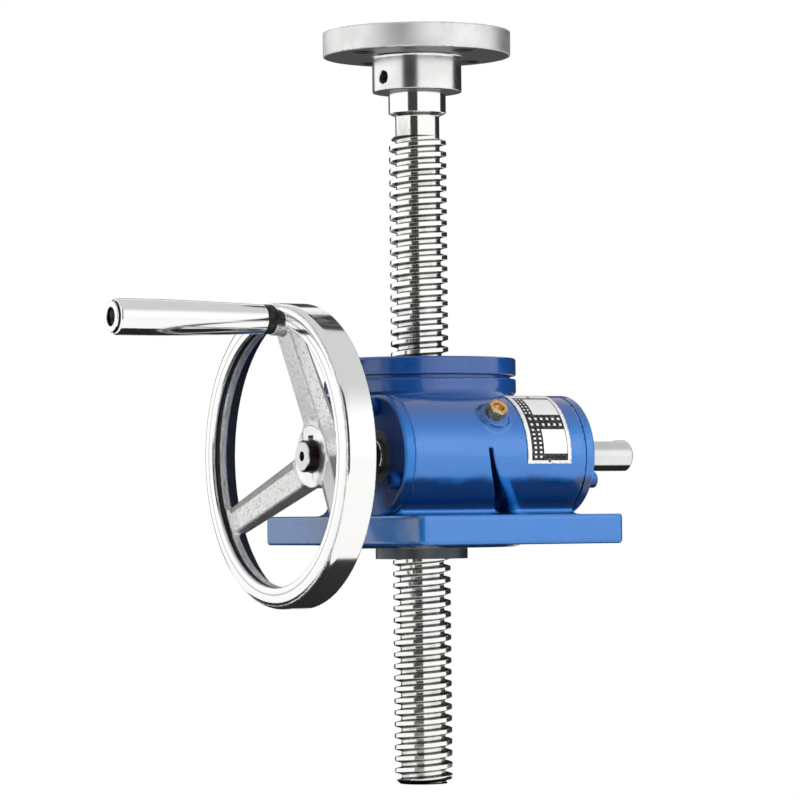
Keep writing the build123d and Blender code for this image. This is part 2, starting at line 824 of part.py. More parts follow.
with BuildPart() as handwheel:
    # rim: flat outside, sloping inwards from its narrow front face
    turned_on_worm(
        [
            (rim_front_x, rim_r - rim_face),
            (rim_front_x, rim_r - rim_edge),
            (rim_front_x + rim_edge, rim_r),
            (rim_back_x - rim_edge, rim_r),
            (rim_back_x, rim_r - rim_edge),
            (rim_back_x, rim_inner_r),
            (rim_front_x + rim_lip_depth, rim_inner_r),
        ]
    )
    # the channel that lightens the rim from behind
    turned_on_worm(
        [
            (rim_front_x + rim_channel_start, rim_r - rim_shell),
            (rim_back_x, rim_r - rim_shell),
            (rim_back_x, rim_inner_r + rim_shell),
            (rim_front_x + rim_lip_depth, rim_inner_r + rim_shell),
        ],
        mode=Mode.SUBTRACT,
    )
    turned_on_worm(
        [
            (hub_front_x, 0),
            (hub_front_x, hub_d / 2 - hub_edge),
            (hub_front_x + hub_edge, hub_d / 2),
            (hub_back_x - hub_edge, hub_d / 2),
            (hub_back_x, hub_d / 2 - hub_edge),
            (hub_back_x, 0),
        ]
    )
    for spoke_angle in spoke_angles:
        with BuildSketch(outward_from_worm(spoke_root_x, spoke_angle, spoke_root_r)):
            RectangleRounded(spoke_width_hub, spoke_thick_hub, spoke_round)
        with BuildSketch(outward_from_worm(spoke_tip_x, spoke_angle, spoke_tip_r)):
            RectangleRounded(spoke_width_rim, spoke_thick_rim, spoke_round)
        loft()
    # boss for the handle's spindle
    turned(
        [
            (rim_front_x, 0),
            (rim_front_x, handle_boss_d / 2),
            (rim_back_x, handle_boss_d / 2),
            (rim_back_x, 0),
        ],
        handle_section,
        handle_axis,
    )
    turned(
        [
            (rim_front_x, 0),
            (rim_front_x, spindle_d / 2),
            (rim_back_x, spindle_d / 2),
            (rim_back_x, 0),
        ],
        handle_section,
        handle_axis,
        Mode.SUBTRACT,
    )
    with BuildSketch(across_worm(hub_front_x)):
        Circle(shaft_end_d / 2)
    extrude(amount=hub_length, mode=Mode.SUBTRACT)
    with BuildSketch(across_worm(hub_front_x)):
        with Locations((0, hub_key_r / 2)):
            Rectangle(key_width, hub_key_r)
    extrude(amount=hub_length, mode=Mode.SUBTRACT)
    with BuildSketch(outward_from_worm(set_screw_x, set_screw_angle, hub_d / 2)):
        Circle(set_screw_d / 2)
    extrude(amount=-(hub_d - shaft_end_d) / 2 - 1, mode=Mode.SUBTRACT)
finish(handwheel, "handwheel")

with BuildPart() as handwheel_key:
    with BuildSketch(Plane.XY.offset(worm_z + key_floor_r)):
        with Locations((key_start_x + key_length / 2, worm_y)):
            SlotOverall(key_length, key_width)
    extrude(amount=key_height)
finish(handwheel_key, "handwheel_key")

with BuildPart() as hub_set_screw:
    with BuildSketch(outward_from_worm(set_screw_x, set_screw_angle, 0)):
        Circle(set_screw_d / 2)
    extrude(amount=hub_d / 2 - set_screw_sunk)
    with BuildSketch(across_worm(hub_front_x)):
        Circle(shaft_end_d / 2)
    extrude(amount=hub_length, mode=Mode.SUBTRACT)
finish(hub_set_screw, "hub_set_screw")

# ---- crank handle: spindle, collar, revolving sleeve and end screw ----
with BuildPart() as handle_spindle:
    turned(
        [
            (spindle_end_x, end_screw_d / 2),
            (spindle_end_x, spindle_d / 2),
            (rim_back_x, spindle_d / 2),
            (rim_back_x, 0),
            (spindle_end_x + end_screw_depth, 0),
            (spindle_end_x + end_screw_depth, end_screw_d / 2),
        ],
        handle_section,
        handle_axis,
    )
finish(handle_spindle, "handle_spindle")

with BuildPart() as handle_collar:
    turned(
        [
            (collar_front_x, spindle_d / 2),
            (collar_front_x, handle_collar_d / 2),
            (rim_front_x, handle_collar_d / 2),
            (rim_front_x, spindle_d / 2),
        ],
        handle_section,
        handle_axis,
    )
finish(handle_collar, "handle_collar")

sleeve_floor_x = spindle_end_x + handle_play
sleeve_bore_r = spindle_d / 2 + running
sleeve_recess_r = end_screw_head_d / 2 + 1

with BuildPart() as handle_sleeve:
    turned(
        [
            (sleeve_start_x, sleeve_bore_r),
            (sleeve_start_x, sleeve_small_d / 2 - 0.5),
            (sleeve_start_x - 0.5, sleeve_small_d / 2),
            (sleeve_end_x + sleeve_end_round, sleeve_large_d / 2),
            (sleeve_end_x + sleeve_end_round / 3, sleeve_large_d / 2 - sleeve_end_round / 6),
            (sleeve_end_x, sleeve_large_d / 2 - sleeve_end_round / 2),
            (sleeve_end_x, sleeve_recess_r),
            (sleeve_floor_x, sleeve_recess_r),
            (sleeve_floor_x, sleeve_bore_r),
        ],
        handle_section,
        handle_axis,
    )
finish(handle_sleeve, "handle_sleeve")

with BuildPart() as handle_end_screw:
    turned(
        [
            (screw_head_x, 0),
            (screw_head_x, end_screw_head_d / 2),
            (spindle_end_x, end_screw_head_d / 2),
            (spindle_end_x, end_screw_d / 2),
            (spindle_end_x + end_screw_depth, end_screw_d / 2),
            (spindle_end_x + end_screw_depth, 0),
        ],
        handle_section,
        handle_axis,
    )
finish(handle_end_screw, "handle_end_screw")
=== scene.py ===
import math
from itertools import product

import bpy
import numpy as np
from mathutils import Matrix, Vector


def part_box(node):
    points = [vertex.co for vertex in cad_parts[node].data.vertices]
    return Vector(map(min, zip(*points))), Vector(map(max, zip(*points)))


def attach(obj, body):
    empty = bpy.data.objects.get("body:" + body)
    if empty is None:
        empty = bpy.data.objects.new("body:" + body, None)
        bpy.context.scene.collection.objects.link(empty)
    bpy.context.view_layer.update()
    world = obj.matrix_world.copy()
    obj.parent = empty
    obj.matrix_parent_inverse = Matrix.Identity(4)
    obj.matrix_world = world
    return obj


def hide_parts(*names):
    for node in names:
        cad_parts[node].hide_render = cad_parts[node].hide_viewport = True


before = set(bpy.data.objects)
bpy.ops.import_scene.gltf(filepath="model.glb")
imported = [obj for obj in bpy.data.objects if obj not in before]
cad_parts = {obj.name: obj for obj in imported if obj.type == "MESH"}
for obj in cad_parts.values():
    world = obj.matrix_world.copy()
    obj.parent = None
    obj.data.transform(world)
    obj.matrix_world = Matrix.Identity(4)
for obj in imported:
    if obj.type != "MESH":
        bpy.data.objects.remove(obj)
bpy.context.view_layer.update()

# ---- Housing ---------------------------------------------
# One iron casting: a flanged base, an upright barrel round the worm wheel and a
# cross cylinder round the worm, run into each other with fillets. It is filled,
# rubbed down and sprayed with glossy blue enamel before the bores are cut.

MM = 0.001
WORM_Y, WORM_Z = -51.0, 45.0
WORM_AXIS = (WORM_Y * MM, WORM_Z * MM)
BASE_TOP, BASE_CORNER = 15.0, 5.0
BASE_HOLES, BASE_HOLE_R = (95.0, 140.0), 6.5
BARREL_R, BAND_R, BAND_LOW = 48.5, 50.0, 78.0
CROSS_R, CROSS_HALF, COVER_ROOM = 31.0, 50.5, 0.5
CHAMBER_R, THRUST_R, BUSH_R, SCREW_WAY_R, BEARING_R = 41.0, 30.0, 20.0, 16.25, 20.0
PLUG_X, PLUG_TURN, PLUG_SEAT = -1.0, math.radians(180.0 - 39.0), 33.5
PLUG_BOSS_R, PLUG_SHANK_R = 8.0, 4.0
LOCK_TURN, LOCK_Z, LOCK_R = math.radians(60.0), 81.75, 3.0
WAIST_TOP, WAIST_LEFT, WAIST_RIGHT, WAIST_R = 49.5, (-7.2, 0.0125), (-5.4, 0.0185), 24.5


def length_of(*parts):
    """The root of the sum of squares, of arrays or of fields of a material."""
    return sum(part * part for part in parts) ** 0.5


def turned_by(turn, a, b):
    """Two offsets in axes turned by an angle: a cos + b sin, and b cos - a sin."""
    return a * math.cos(turn) + b * math.sin(turn), b * math.cos(turn) - a * math.sin(turn)


def within(edge, *offsets):
    """Distance to the space where all offsets are below 0, its edges rounded to a
    radius: |max(q, 0)| + min(max(q), 0) - edge, where q = offset + edge."""
    raised = [offset + edge for offset in offsets]
    outside = length_of(*(np.maximum(q, 0) for q in raised))
    deepest = raised[0]
    for q in raised[1:]:
        deepest = np.maximum(deepest, q)
    return outside + np.minimum(deepest, 0) - edge


def joined(a, b, fillet):
    """Union of two distances with a round fillet: max(f, min(a, b)) - |max(f - (a, b), 0)|."""
    gap = length_of(np.maximum(fillet - a, 0), np.maximum(fillet - b, 0))
    return np.maximum(fillet, np.minimum(a, b)) - gap


def cut_from(a, b, edge):
    """Distance a less distance b with a rounded edge: the joined outside, negated."""
    return -joined(-a, b, edge)


def housing_distance(x, y, z):
    """Signed distance, in mm, to the casting: base, barrel and cross cylinder joined by
    fillets, then the waist, bores and holes taken away."""
    low, high = (np.array(corner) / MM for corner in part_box("housing"))
    centre, half = (low + high) / 2, (high - low) / 2
    outline = within(BASE_CORNER, abs(x - centre[0]) - half[0], abs(y - centre[1]) - half[1])
    base = within(1.6, outline, abs(z - BASE_TOP / 2) - BASE_TOP / 2)
    radius = length_of(x, y)
    barrel = within(1.0, radius - BARREL_R, abs(z - 42.0) - 42.0)
    band = within(0.9, radius - BAND_R, BAND_LOW - z, z - high[2])
    cross_radius = length_of(y - WORM_Y, z - WORM_Z)
    cross = within(0.9, cross_radius - CROSS_R, abs(x) - CROSS_HALF)
    body = joined(joined(barrel, cross, 7.0), band, 2.0)
    along, across = turned_by(PLUG_TURN, y - WORM_Y, z - WORM_Z)
    beside = length_of(x - PLUG_X, across)
    boss = within(0.7, beside - PLUG_BOSS_R, along - PLUG_SEAT, 20.0 - along)
    body = joined(body, boss, 2.2)
    body = cut_from(body, within(0.1, beside - PLUG_SHANK_R, 19.0 - along), 0.3)
    # the waist between the bearing bosses is a wedge whose sides, edge + lean drop^2, both go
    # right as it widens downwards
    drop = np.clip(WAIST_TOP - z, 0, None)
    left, right = (edge + lean * drop**2 for edge, lean in (WAIST_LEFT, WAIST_RIGHT))
    sides = np.maximum(np.maximum(left - x, x - right) * 0.85, z - WAIST_TOP + 1.0)
    waist = cut_from(np.maximum(sides, y - WORM_Y + 2.0), cross_radius - WAIST_R, 1.5)
    soft = np.clip((x + 2.0) / 8.0, 0, 1)
    body = cut_from(body, waist, 0.8 + 2.0 * soft * soft * (3 - 2 * soft))
    body = joined(body, base, 6.0)
    cover_seat = within(0.3, cross_radius - CROSS_R - COVER_ROOM, abs(abs(x) - 53.5) - 3.0)
    body = cut_from(body, cover_seat, 0.4)
    body = cut_from(body, cross_radius - BEARING_R, 0.3)
    chamber = within(0.1, radius - CHAMBER_R, abs(z - 66.0) - 35.0)
    seat = within(0.1, radius - THRUST_R, abs(z - 30.0) - 10.0)
    bush_bore = within(0.1, radius - BUSH_R, abs(z) - 14.0)
    way = within(0.1, radius - SCREW_WAY_R, abs(z - 15.0) - 10.0)
    body = cut_from(body, np.minimum(np.minimum(chamber, seat), np.minimum(bush_bore, way)), 0.3)
    lock_side = abs(x) * math.sin(LOCK_TURN) - y * math.cos(LOCK_TURN)
    lock = within(0.1, length_of(lock_side, z - LOCK_Z) - LOCK_R, 30.0 - y)
    body = cut_from(body, lock, 0.4)
    hole = length_of(abs(x) - BASE_HOLES[0] / 2, abs(y - centre[1]) - BASE_HOLES[1] / 2)
    return cut_from(body, hole - BASE_HOLE_R, 0.4)


def slopes(distance, points, step=0.02):
    """Unit normals by central differences of a distance, and the way back to the surface."""
    ways = np.eye(3) * step
    rises = [distance(*(points + way).T) - distance(*(points - way).T) for way in ways]
    slope = np.stack(rises, axis=1) / (2 * step)
    size = np.maximum(np.linalg.norm(slope, axis=1, keepdims=True), 1e-6)
    return slope / size, distance(*points.T)[:, None] / size


def skin(distance, node, cell, spare=0.0):
    """Surface net of a distance over a CAD node's box: a point in each cell that the surface
    crosses, drawn onto it along the slope, and a quad round each grid edge that changes side."""
    low, high = (np.array(corner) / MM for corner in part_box(node))
    lines = [np.arange(a - spare - 1.5 * cell, b + spare + 2.5 * cell, cell) for a, b in zip(low, high)]
    grid = np.meshgrid(*lines, indexing="ij")
    inside = distance(*grid) < 0
    ends = (slice(0, -1), slice(1, None))
    corners = sum(inside[cut].astype(np.int8) for cut in product(ends, repeat=3))
    crossed = (corners > 0) & (corners < 8)
    number = np.full(crossed.shape, -1)
    number[crossed] = np.arange(crossed.sum())
    points = np.stack([axis[:-1, :-1, :-1][crossed] + cell / 2 for axis in grid], axis=1)
    start = points.copy()
    for _ in range(6):
        normal, off = slopes(distance, points)
        points = np.clip(points - normal * off, start - cell, start + cell)
    quads = []
    for axis in range(3):
        one, two = (axis + 1) % 3, (axis + 2) % 3
        sides = np.moveaxis(inside, (axis, one, two), (0, 1, 2))
        cells = np.moveaxis(number, (axis, one, two), (0, 1, 2))
        changes = sides[:-1, 1:-1, 1:-1] != sides[1:, 1:-1, 1:-1]
        i, j, k = np.nonzero(changes)
        ring = [cells[i, j, k], cells[i, j + 1, k], cells[i, j + 1, k + 1], cells[i, j, k + 1]]
        ring = np.stack(ring, axis=1)
        leaving = sides[:-1, 1:-1, 1:-1][changes]
        quads.append(np.where(leaving[:, None], ring, ring[:, ::-1]))
    return points, [np.concatenate(quads)], slopes(distance, points)[0]


def placed(name, data):
    """An object in the scene, from a mesh, a camera or a lamp."""
    thing = bpy.data.objects.new(name, data)
    bpy.context.collection.objects.link(thing)
    return thing


def new_piece(name, surface, finish, unwrapped=None):
    """A piece from a surface: its points in mm, its lists of quads or triangles, its normals."""
    points, faces, normals = surface
    mesh = bpy.data.meshes.new(name)
    mesh.vertices.add(len(points))
    mesh.vertices.foreach_set("co", (points * MM).astype(np.float32).ravel())
    loops = np.concatenate([some.ravel() for some in faces]).astype(np.int32)
    sizes = np.concatenate([np.full(len(some), some.shape[1]) for some in faces])
    mesh.loops.add(len(loops))
    mesh.loops.foreach_set("vertex_index", loops)
    mesh.polygons.add(len(sizes))
    mesh.polygons.foreach_set("loop_start", (np.cumsum(sizes) - sizes).astype(np.int32))
    mesh.polygons.foreach_set("use_smooth", np.ones(len(sizes), dtype=bool))
    if unwrapped is not None:
        mesh.uv_layers.new(name="unwrapped").data.foreach_set("uv", unwrapped[loops].ravel())
    mesh.update(calc_edges=True)
    mesh.validate()
    mesh.normals_split_custom_set_from_vertices(normals.tolist())
    mesh.materials.append(finish)
    return placed(name, mesh)


class Field:
    """A socket of a material's nodes. Arithmetic on it adds Math nodes."""

    def __init__(self, tree, socket=None):
        self.tree, self.socket = tree, socket

    def feed(self, node, inputs):
        """Gives a node's sockets their values, or links fields to them."""
        for key, value in inputs.items():
            if isinstance(value, Field):
                self.tree.links.new(value.socket, node.inputs[key])
            else:
                node.inputs[key].default_value = value

    def add(self, kind, settings=None, inputs=None, output=0):
        """Adds a node: its settings first, then the values or links of its sockets."""
        node = self.tree.nodes.new(kind)
        for name, value in (settings or {}).items():
            setattr(node, name, value)
        self.feed(node, inputs or {})
        return Field(self.tree, node.outputs[output])

    def close(self, kind):
        """Links this shader to an output node of a kind."""
        self.feed(self.tree.nodes.new(kind), {"Surface": self})

    def math(self, operation, *values):
        return self.add("ShaderNodeMath", {"operation": operation}, dict(enumerate(values)))

    def __add__(self, other):
        return self.math("ADD", self, other)

    def __sub__(self, other):
        return self.math("SUBTRACT", self, other)

    def __mul__(self, other):
        return self.math("MULTIPLY", self, other)

    def __pow__(self, other):
        return self.math("POWER", self, other)

    def __rsub__(self, other):
        return self.math("SUBTRACT", other, self)

    __radd__, __rmul__ = __add__, __mul__

    def larger(self, other):
        return self.math("MAXIMUM", self, other)

    def smaller(self, other):
        return self.math("MINIMUM", self, other)

    def ramp(self, low, high):
        """0 below low and 1 above high, with a smooth rise between them."""
        ends = {"Value": self, "From Min": low, "From Max": high, "To Min": 0.0, "To Max": 1.0}
        return self.add("ShaderNodeMapRange", {"interpolation_type": "SMOOTHSTEP"}, ends)

    def fall(self, low, high):
        """1 below low and 0 above high."""
        return 1.0 - self.ramp(low, high)

    def between(self, low, full, fading, gone):
        """0 outside, 1 between full and fading."""
        return self.ramp(low, full) * self.fall(fading, gone)

    def part(self, axis):
        return self.add("ShaderNodeSeparateXYZ", {}, {0: self}, "XYZ".index(axis))

    def noise(self, scale, detail=2.0, stretch=(1.0, 1.0, 1.0)):
        """Noise over this vector, its scale in waves a metre."""
        spread = self.add("ShaderNodeVectorMath", {"operation": "MULTIPLY"}, {0: self, 1: stretch})
        return self.add("ShaderNodeTexNoise", {}, {"Vector": spread, "Scale": scale, "Detail": detail})

    def tint(self, low, high):
        """Blends two colours, or two colour sockets, by this value."""
        low, high = (side if isinstance(side, Field) else (*side, 1.0) for side in (low, high))
        return self.add("ShaderNodeMix", {"data_type": "RGBA"}, {0: self, 6: low, 7: high}, 2)

    def bump(self, depth, under=None):
        """A normal raised by this height, whose 1 stands for depth metres."""
        inputs = {"Height": self, "Distance": depth, "Strength": 1.0}
        if under is not None:
            inputs["Normal"] = under
        return self.add("ShaderNodeBump", {}, inputs)


def finish_of(name, recipe, *choices):
    """A material whose recipe, given the object coordinates, returns the shader's sockets."""
    material = bpy.data.materials.new(name)
    material.use_nodes = True
    tree = material.node_tree
    place = Field(tree).add("ShaderNodeTexCoord", output="Object")
    place.feed(tree.nodes["Principled BSDF"], recipe(place, *choices))
    return material


def round_worm(place):
    """The coordinates of a place counted from the worm shaft's axis, and its distance from it."""
    x, y, z = place.part("X"), place.part("Y") - WORM_AXIS[0], place.part("Z") - WORM_AXIS[1]
    return x, y, z, length_of(y, z)


def enamel_recipe(place, low, high):
    """Glossy enamel: faintly cloudy, with orange peel over the casting's slow waviness and dull
    smears from handling. Painted shade with a thinner coat darkens it low on the cross cylinder,
    save on a strip beside the waist, and in the waist. It darkens up the barrel to a deeper blue band."""
    cloud = place.noise(45.0, 3.0)
    peel = place.noise(900.0, 1.0)
    wave = place.noise(95.0, 2.0)
    smear = place.noise(70.0, 4.0, (0.5, 0.5, 1.6)).ramp(0.45, 0.72)
    dust = place.noise(2600.0, 2.0).ramp(0.69, 0.74)
    x, y, z = (place.part(axis) for axis in "XYZ")
    # The masks below paint shade: under, low on the front of the cross cylinder, is spared on the fillet
    # above the base and on a strip beside the waist; waist covers the waist's hollow.
    drop = WAIST_TOP * MM - z
    entered = x - WAIST_LEFT[0] * MM - drop * drop * (WAIST_LEFT[1] / MM)
    past = x - (WAIST_RIGHT[0] - 0.1) * MM - drop * drop * (WAIST_RIGHT[1] / MM)
    unshaded_strip = past.between(0.0004, 0.0014, 0.0048, 0.0068)
    uneven = z + (wave - 0.5) * 0.006
    shaded_heights = z.ramp(0.0174, 0.0184) + z.between(0.01500, 0.01504, 0.0156, 0.0162)
    under = y.fall(-0.062, -0.056) * uneven.fall(0.0305, 0.0355) * shaded_heights * (1.0 - unshaded_strip)
    sunk = round_worm(place)[3].fall(0.0300, 0.0308)
    waist = entered.ramp(0.0000, 0.0010) * past.fall(-0.0006, 0.0006)
    waist = waist.larger(sunk * past.between(-0.0080, -0.0060, 0.0010, 0.0030))
    waist = waist * y.fall(-0.058, -0.053) * z.fall(0.046, 0.050) * z.ramp(0.0150, 0.0156)
    painted_shade = (under * 0.90).larger(waist * 0.97)
    colour = (dust * 0.2).tint(cloud.tint(low, high), (0.30, 0.42, 0.60))
    colour = (z.ramp(0.0500, 0.0740) * 0.95).tint(colour, (0.001, 0.058, 0.27))
    return {
        "Base Color": painted_shade.tint(colour, (0.0015, 0.016, 0.085)),
        "Roughness": 0.24 + smear * 0.12,
        "Specular IOR Level": 0.7,
        "Coat Weight": 0.9 - painted_shade * 0.6,
        "Coat Roughness": 0.12,
        "Normal": peel.bump(0.00002, wave.bump(0.00022)),
    }


ENAMEL = (0.010, 0.165, 0.54), (0.016, 0.195, 0.61)
enamel = finish_of("blue_enamel", enamel_recipe, *ENAMEL)
housing = new_piece("housing_casting", skin(housing_distance, "housing", 1.25), enamel)
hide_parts("housing")
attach(housing, "base")

# ---- Guide bush ------------------------------------------
# A turned steel bush pressed into the base from below. Its ring stands under the
# base and centres the jack in the frame; the lathe's feed marks show on it.


def turned_recipe(place, light, dark, shine, centre=(0.0, 0.0), along="Z"):
    """Turned or ground steel: rings of feed marks by height and radius round an axis,
    and a thin uneven film of oil."""
    others = (letter for letter in "XYZ" if letter != along)
    radius = length_of(*(place.part(letter) - middle for letter, middle in zip(others, centre)))
    rings = place.add("ShaderNodeCombineXYZ", {}, {0: radius, 1: place.part(along)})
    marks = rings.noise(2600.0, 2.0)
    film = place.noise(60.0, 3.0)
    return {
        "Base Color": film.ramp(0.35, 0.70).tint(dark, light),
        "Metallic": 1.0,
        "Roughness": shine + film * 0.10 + marks * 0.05,
        "Normal": marks.bump(0.0000035),
    }


def dress(finish, *nodes):
    """Gives CAD nodes whose shape is already right their finish."""
    for node in nodes:
        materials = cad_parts[node].data.materials
        materials.clear()
        materials.append(finish)


bush_steel = finish_of("bush_steel", turned_recipe, (0.16, 0.16, 0.17), (0.09, 0.10, 0.12), 0.34)
dress(bush_steel, "guide_bush")

# ---- Thrust bearings and worm wheel ----------------------
# The wheel is hobbed from a bronze blank and stands between two ball thrust
# bearings with ground races; all of it runs in oil inside the barrel.


def filmed_recipe(place, film, edges, dark, light, metallic, shine, marks, depth):
    """Metal under an uneven film: two colours mixed by noise between two edges, a roughness
    of shine + spread film, and fine marks of a depth in metres."""
    film = place.noise(*film)
    return {
        "Base Color": film.ramp(*edges).tint(dark, light),
        "Metallic": metallic,
        "Roughness": shine[0] + film * shine[1],
        "Normal": place.noise(*marks).bump(depth),
    }


# oiled bronze with the hob's fine marks and a browner film that comes and goes
BRONZE = (150.0, 4.0), (0.35, 0.70), (0.36, 0.19, 0.07), (0.66, 0.42, 0.18), 1.0, (0.26, 0.16)
HOB_MARKS = (1500.0, 1.0, (1.0, 1.0, 0.1)), 0.000006
RACE_LOOK = (0.66, 0.66, 0.67), (0.52, 0.52, 0.54), 0.14
race_steel = finish_of("race_steel", turned_recipe, *RACE_LOOK)
for level in ("lower", "upper"):
    dress(race_steel, f"{level}_housing_washer", f"{level}_shaft_washer", f"{level}_thrust_balls")
dress(finish_of("hobbed_bronze", filmed_recipe, *BRONZE, *HOB_MARKS), "worm_wheel")

# ---- Top cover -------------------------------------------
# A ring-shaped iron cover whose spigot drops into the barrel and holds the upper
# bearing. It is turned, enamelled with the housing, and held by two lock screws.

COVER_TOP, COVER_RING, COVER_RING_R, COVER_NECK_R = 96.3, 9.3, 50.0, 47.0
BARREL_TOP, COVER_SPIGOT, WIPER_R, WIPER_DEEP = 85.5, 23.5, 22.0, 6.0


def outline_of(corners, edges, closed=True, steps=6):
    """An outline of (radius, height) corners, each drawn as a short curve from edge before it
    to edge after it, (1-s)^2 a + 2s(1-s) c + s^2 b, with its outward normals. An open one
    starts and ends on the axis."""
    corners, edges = np.array(corners, float), np.broadcast_to(edges, len(corners)).astype(float)
    back, on = np.roll(corners, 1, axis=0) - corners, np.roll(corners, -1, axis=0) - corners
    back_size, on_size = length_of(*back.T), length_of(*on.T)
    edges = np.minimum(np.maximum(edges, 1e-3), 0.48 * np.minimum(back_size, on_size))
    a, b = corners + back * (edges / back_size)[:, None], corners + on * (edges / on_size)[:, None]
    s = np.linspace(0, 1, steps)[None, :, None]
    a, b, c = a[:, None], b[:, None], corners[:, None]
    points = (1 - s) ** 2 * a + 2 * s * (1 - s) * c + s**2 * b
    run = (1 - s) * (c - a) + s * (b - c)
    across, up = corners.T
    turn = np.sign(np.sum(across * np.roll(up, -1) - np.roll(across, -1) * up))
    normals = np.stack([run[..., 1], -run[..., 0]], axis=-1) * turn
    normals /= np.maximum(np.linalg.norm(normals, axis=-1, keepdims=True), 1e-9)
    points, normals = points.reshape(-1, 2), normals.reshape(-1, 2)
    if closed:
        return points, normals, turn
    points, normals = points[steps - 1 : -steps + 1], normals[steps - 1 : -steps + 1]
    points[[0, -1], 0] = 0
    normals[[0, -1]] = [[0, -turn], [0, turn]]
    return points, normals, turn


def grid_faces(rows, columns, rows_close=False, columns_close=False):
    """Quads between neighbouring points of a grid, and between its last and first row or
    column where those close."""
    counts = (rows - 1 + rows_close, columns - 1 + columns_close)
    i, j = np.meshgrid(*map(np.arange, counts), indexing="ij")
    on, beside = (i + 1) % rows, (j + 1) % columns
    corners = [i * columns + j, i * columns + beside, on * columns + beside, on * columns + j]
    return np.stack(corners, axis=-1).reshape(-1, 4)


def spun(outline, around=128, along="Z", centre=(0.0, 0.0)):
    """A surface turned from an outline: (r cos t, r sin t, h) round the Z axis, or with its
    height along X. The poles of an open outline are single points with fans of triangles."""
    points, normals, turn = outline
    t = np.arange(around) * 2 * math.pi / around
    circle = np.stack([np.cos(t), np.sin(t), np.zeros(around)], axis=1)[None]
    up = np.array([0.0, 0.0, 1.0])
    turned = [row[:, 0, None, None] * circle + row[:, 1, None, None] * up for row in (points, normals)]
    if points[0, 0] > 0:
        faces = [grid_faces(len(points), around, True, True)]
        places, facing = (rows.reshape(-1, 3) for rows in turned)
    else:
        inner = grid_faces(len(points) - 2, around, False, True) + 1
        poled = ([rows[0, :1], rows[1:-1].reshape(-1, 3), rows[-1, :1]] for rows in turned)
        places, facing = map(np.concatenate, poled)
        j = np.arange(around)
        beside, last = (j + 1) % around, len(places) - 1
        start = np.stack([np.zeros_like(j), 1 + beside, 1 + j], axis=1)
        end = np.stack([last - around + j, last - around + beside, np.full_like(j, last)], axis=1)
        faces = [inner, start, end]
    if turn < 0:
        faces = [some[:, ::-1] for some in faces]
    if along == "X":
        places, facing = np.roll(places, 1, axis=1), np.roll(facing, 1, axis=1)
        places = places + np.array([0.0, *centre])
    return places, faces, facing


cover_outline = outline_of(
    [
        (THRUST_R, BARREL_TOP - COVER_SPIGOT),
        (CHAMBER_R, BARREL_TOP - COVER_SPIGOT),
        (CHAMBER_R, BARREL_TOP),
        (COVER_NECK_R, BARREL_TOP),
        (COVER_NECK_R, COVER_TOP - COVER_RING),
        (COVER_RING_R, COVER_TOP - COVER_RING),
        (COVER_RING_R, COVER_TOP),
        (WIPER_R, COVER_TOP),
        (WIPER_R, COVER_TOP - WIPER_DEEP),
        (SCREW_WAY_R, COVER_TOP - WIPER_DEEP),
        (SCREW_WAY_R, 70.0),
        (THRUST_R, 70.0),
    ],
    [0.5, 0.5, 0.1, 0.1, 0.3, 0.9, 1.6, 0.6, 0.2, 0.2, 0.2, 0.2],
)
top_cover = new_piece("top_cover_ring", spun(cover_outline, 192), enamel)
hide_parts("top_cover")
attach(top_cover, "base")


def rubber_recipe(place):
    """Oiled black nitrile rubber with a fine moulded grain."""
    grain = place.noise(2200.0, 2.0)
    return {
        "Base Color": place.noise(200.0, 3.0).tint((0.012, 0.012, 0.012), (0.035, 0.033, 0.031)),
        "Roughness": 0.50 + grain * 0.15,
        "Normal": grain.bump(0.00001),
    }


# steel blacked in hot oil: nearly black, a little brown, with a dull sheen
BLACKED = (400.0, 3.0), (0.35, 0.70), (0.020, 0.019, 0.018), (0.050, 0.046, 0.042), 0.6, (0.30, 0.15)
blackened = finish_of("blackened_steel", filmed_recipe, *BLACKED, (1800.0, 2.0), 0.000008)
nitrile = finish_of("nitrile_rubber", rubber_recipe)
dress(blackened, "cover_lock_screws")
dress(nitrile, "screw_wiper")

# ---- Worm shaft and its ball bearings --------------------
# Hardened steel with the worm cut on it, carried in two deep-groove bearings.
# Both ends are ground bright, have keyways, and come out through the covers.


def with_painted_shade(sockets, mask, colour, rougher):
    """A finish with a colour of painted shade laid over it by a mask, and more roughness."""
    sockets["Base Color"] = mask.tint(sockets["Base Color"], colour)
    sockets["Roughness"] = sockets["Roughness"] + rougher
    return sockets


def shaft_recipe(place):
    """Ground steel, painted near black as shade on its side out beyond the handwheel's hub and in its
    centre hole.
    """
    x, _, _, radius = round_worm(place)
    # Painted shade: near black on the shaft's side beyond the hub and in its centre hole.
    shaft_shade = x.fall(-0.0925, -0.0915) * (radius.ramp(0.0072, 0.0077) + radius.fall(0.0023, 0.0026))
    end = x.fall(-0.0979, -0.0977)
    sockets = turned_recipe(place, (0.84, 0.84, 0.85), (0.76, 0.76, 0.77), 0.07, WORM_AXIS, "X")
    return with_painted_shade(sockets, shaft_shade, (0.022, 0.016, 0.014), end * 0.20 + shaft_shade * 0.2)


shaft_steel = finish_of("shaft_steel", shaft_recipe)
dress(shaft_steel, "worm_shaft", "handwheel_key")
worm_race_steel = finish_of("worm_race_steel", turned_recipe, *RACE_LOOK, WORM_AXIS, "X")
for side in ("left", "right"):
    bearing = (f"{side}_bearing_{piece}" for piece in ("inner_ring", "outer_ring", "balls"))
    dress(worm_race_steel, *bearing)

# ---- End covers, seals and cover screws ------------------
# Turned iron covers close the cross cylinder and hold the bearings. They and their
# screws were sprayed with the housing, so paint has crept into the seams and sockets.

COVER_FACE_X, SEAL_R = 56.0, 14.0
COVER_SCREW_R, COVER_SCREW_HEAD_R, COVER_SCREW_HEAD = 25.0, 4.25, 4.5
COVER_SCREW_TURNS = np.radians([90.0, 210.0, 330.0])


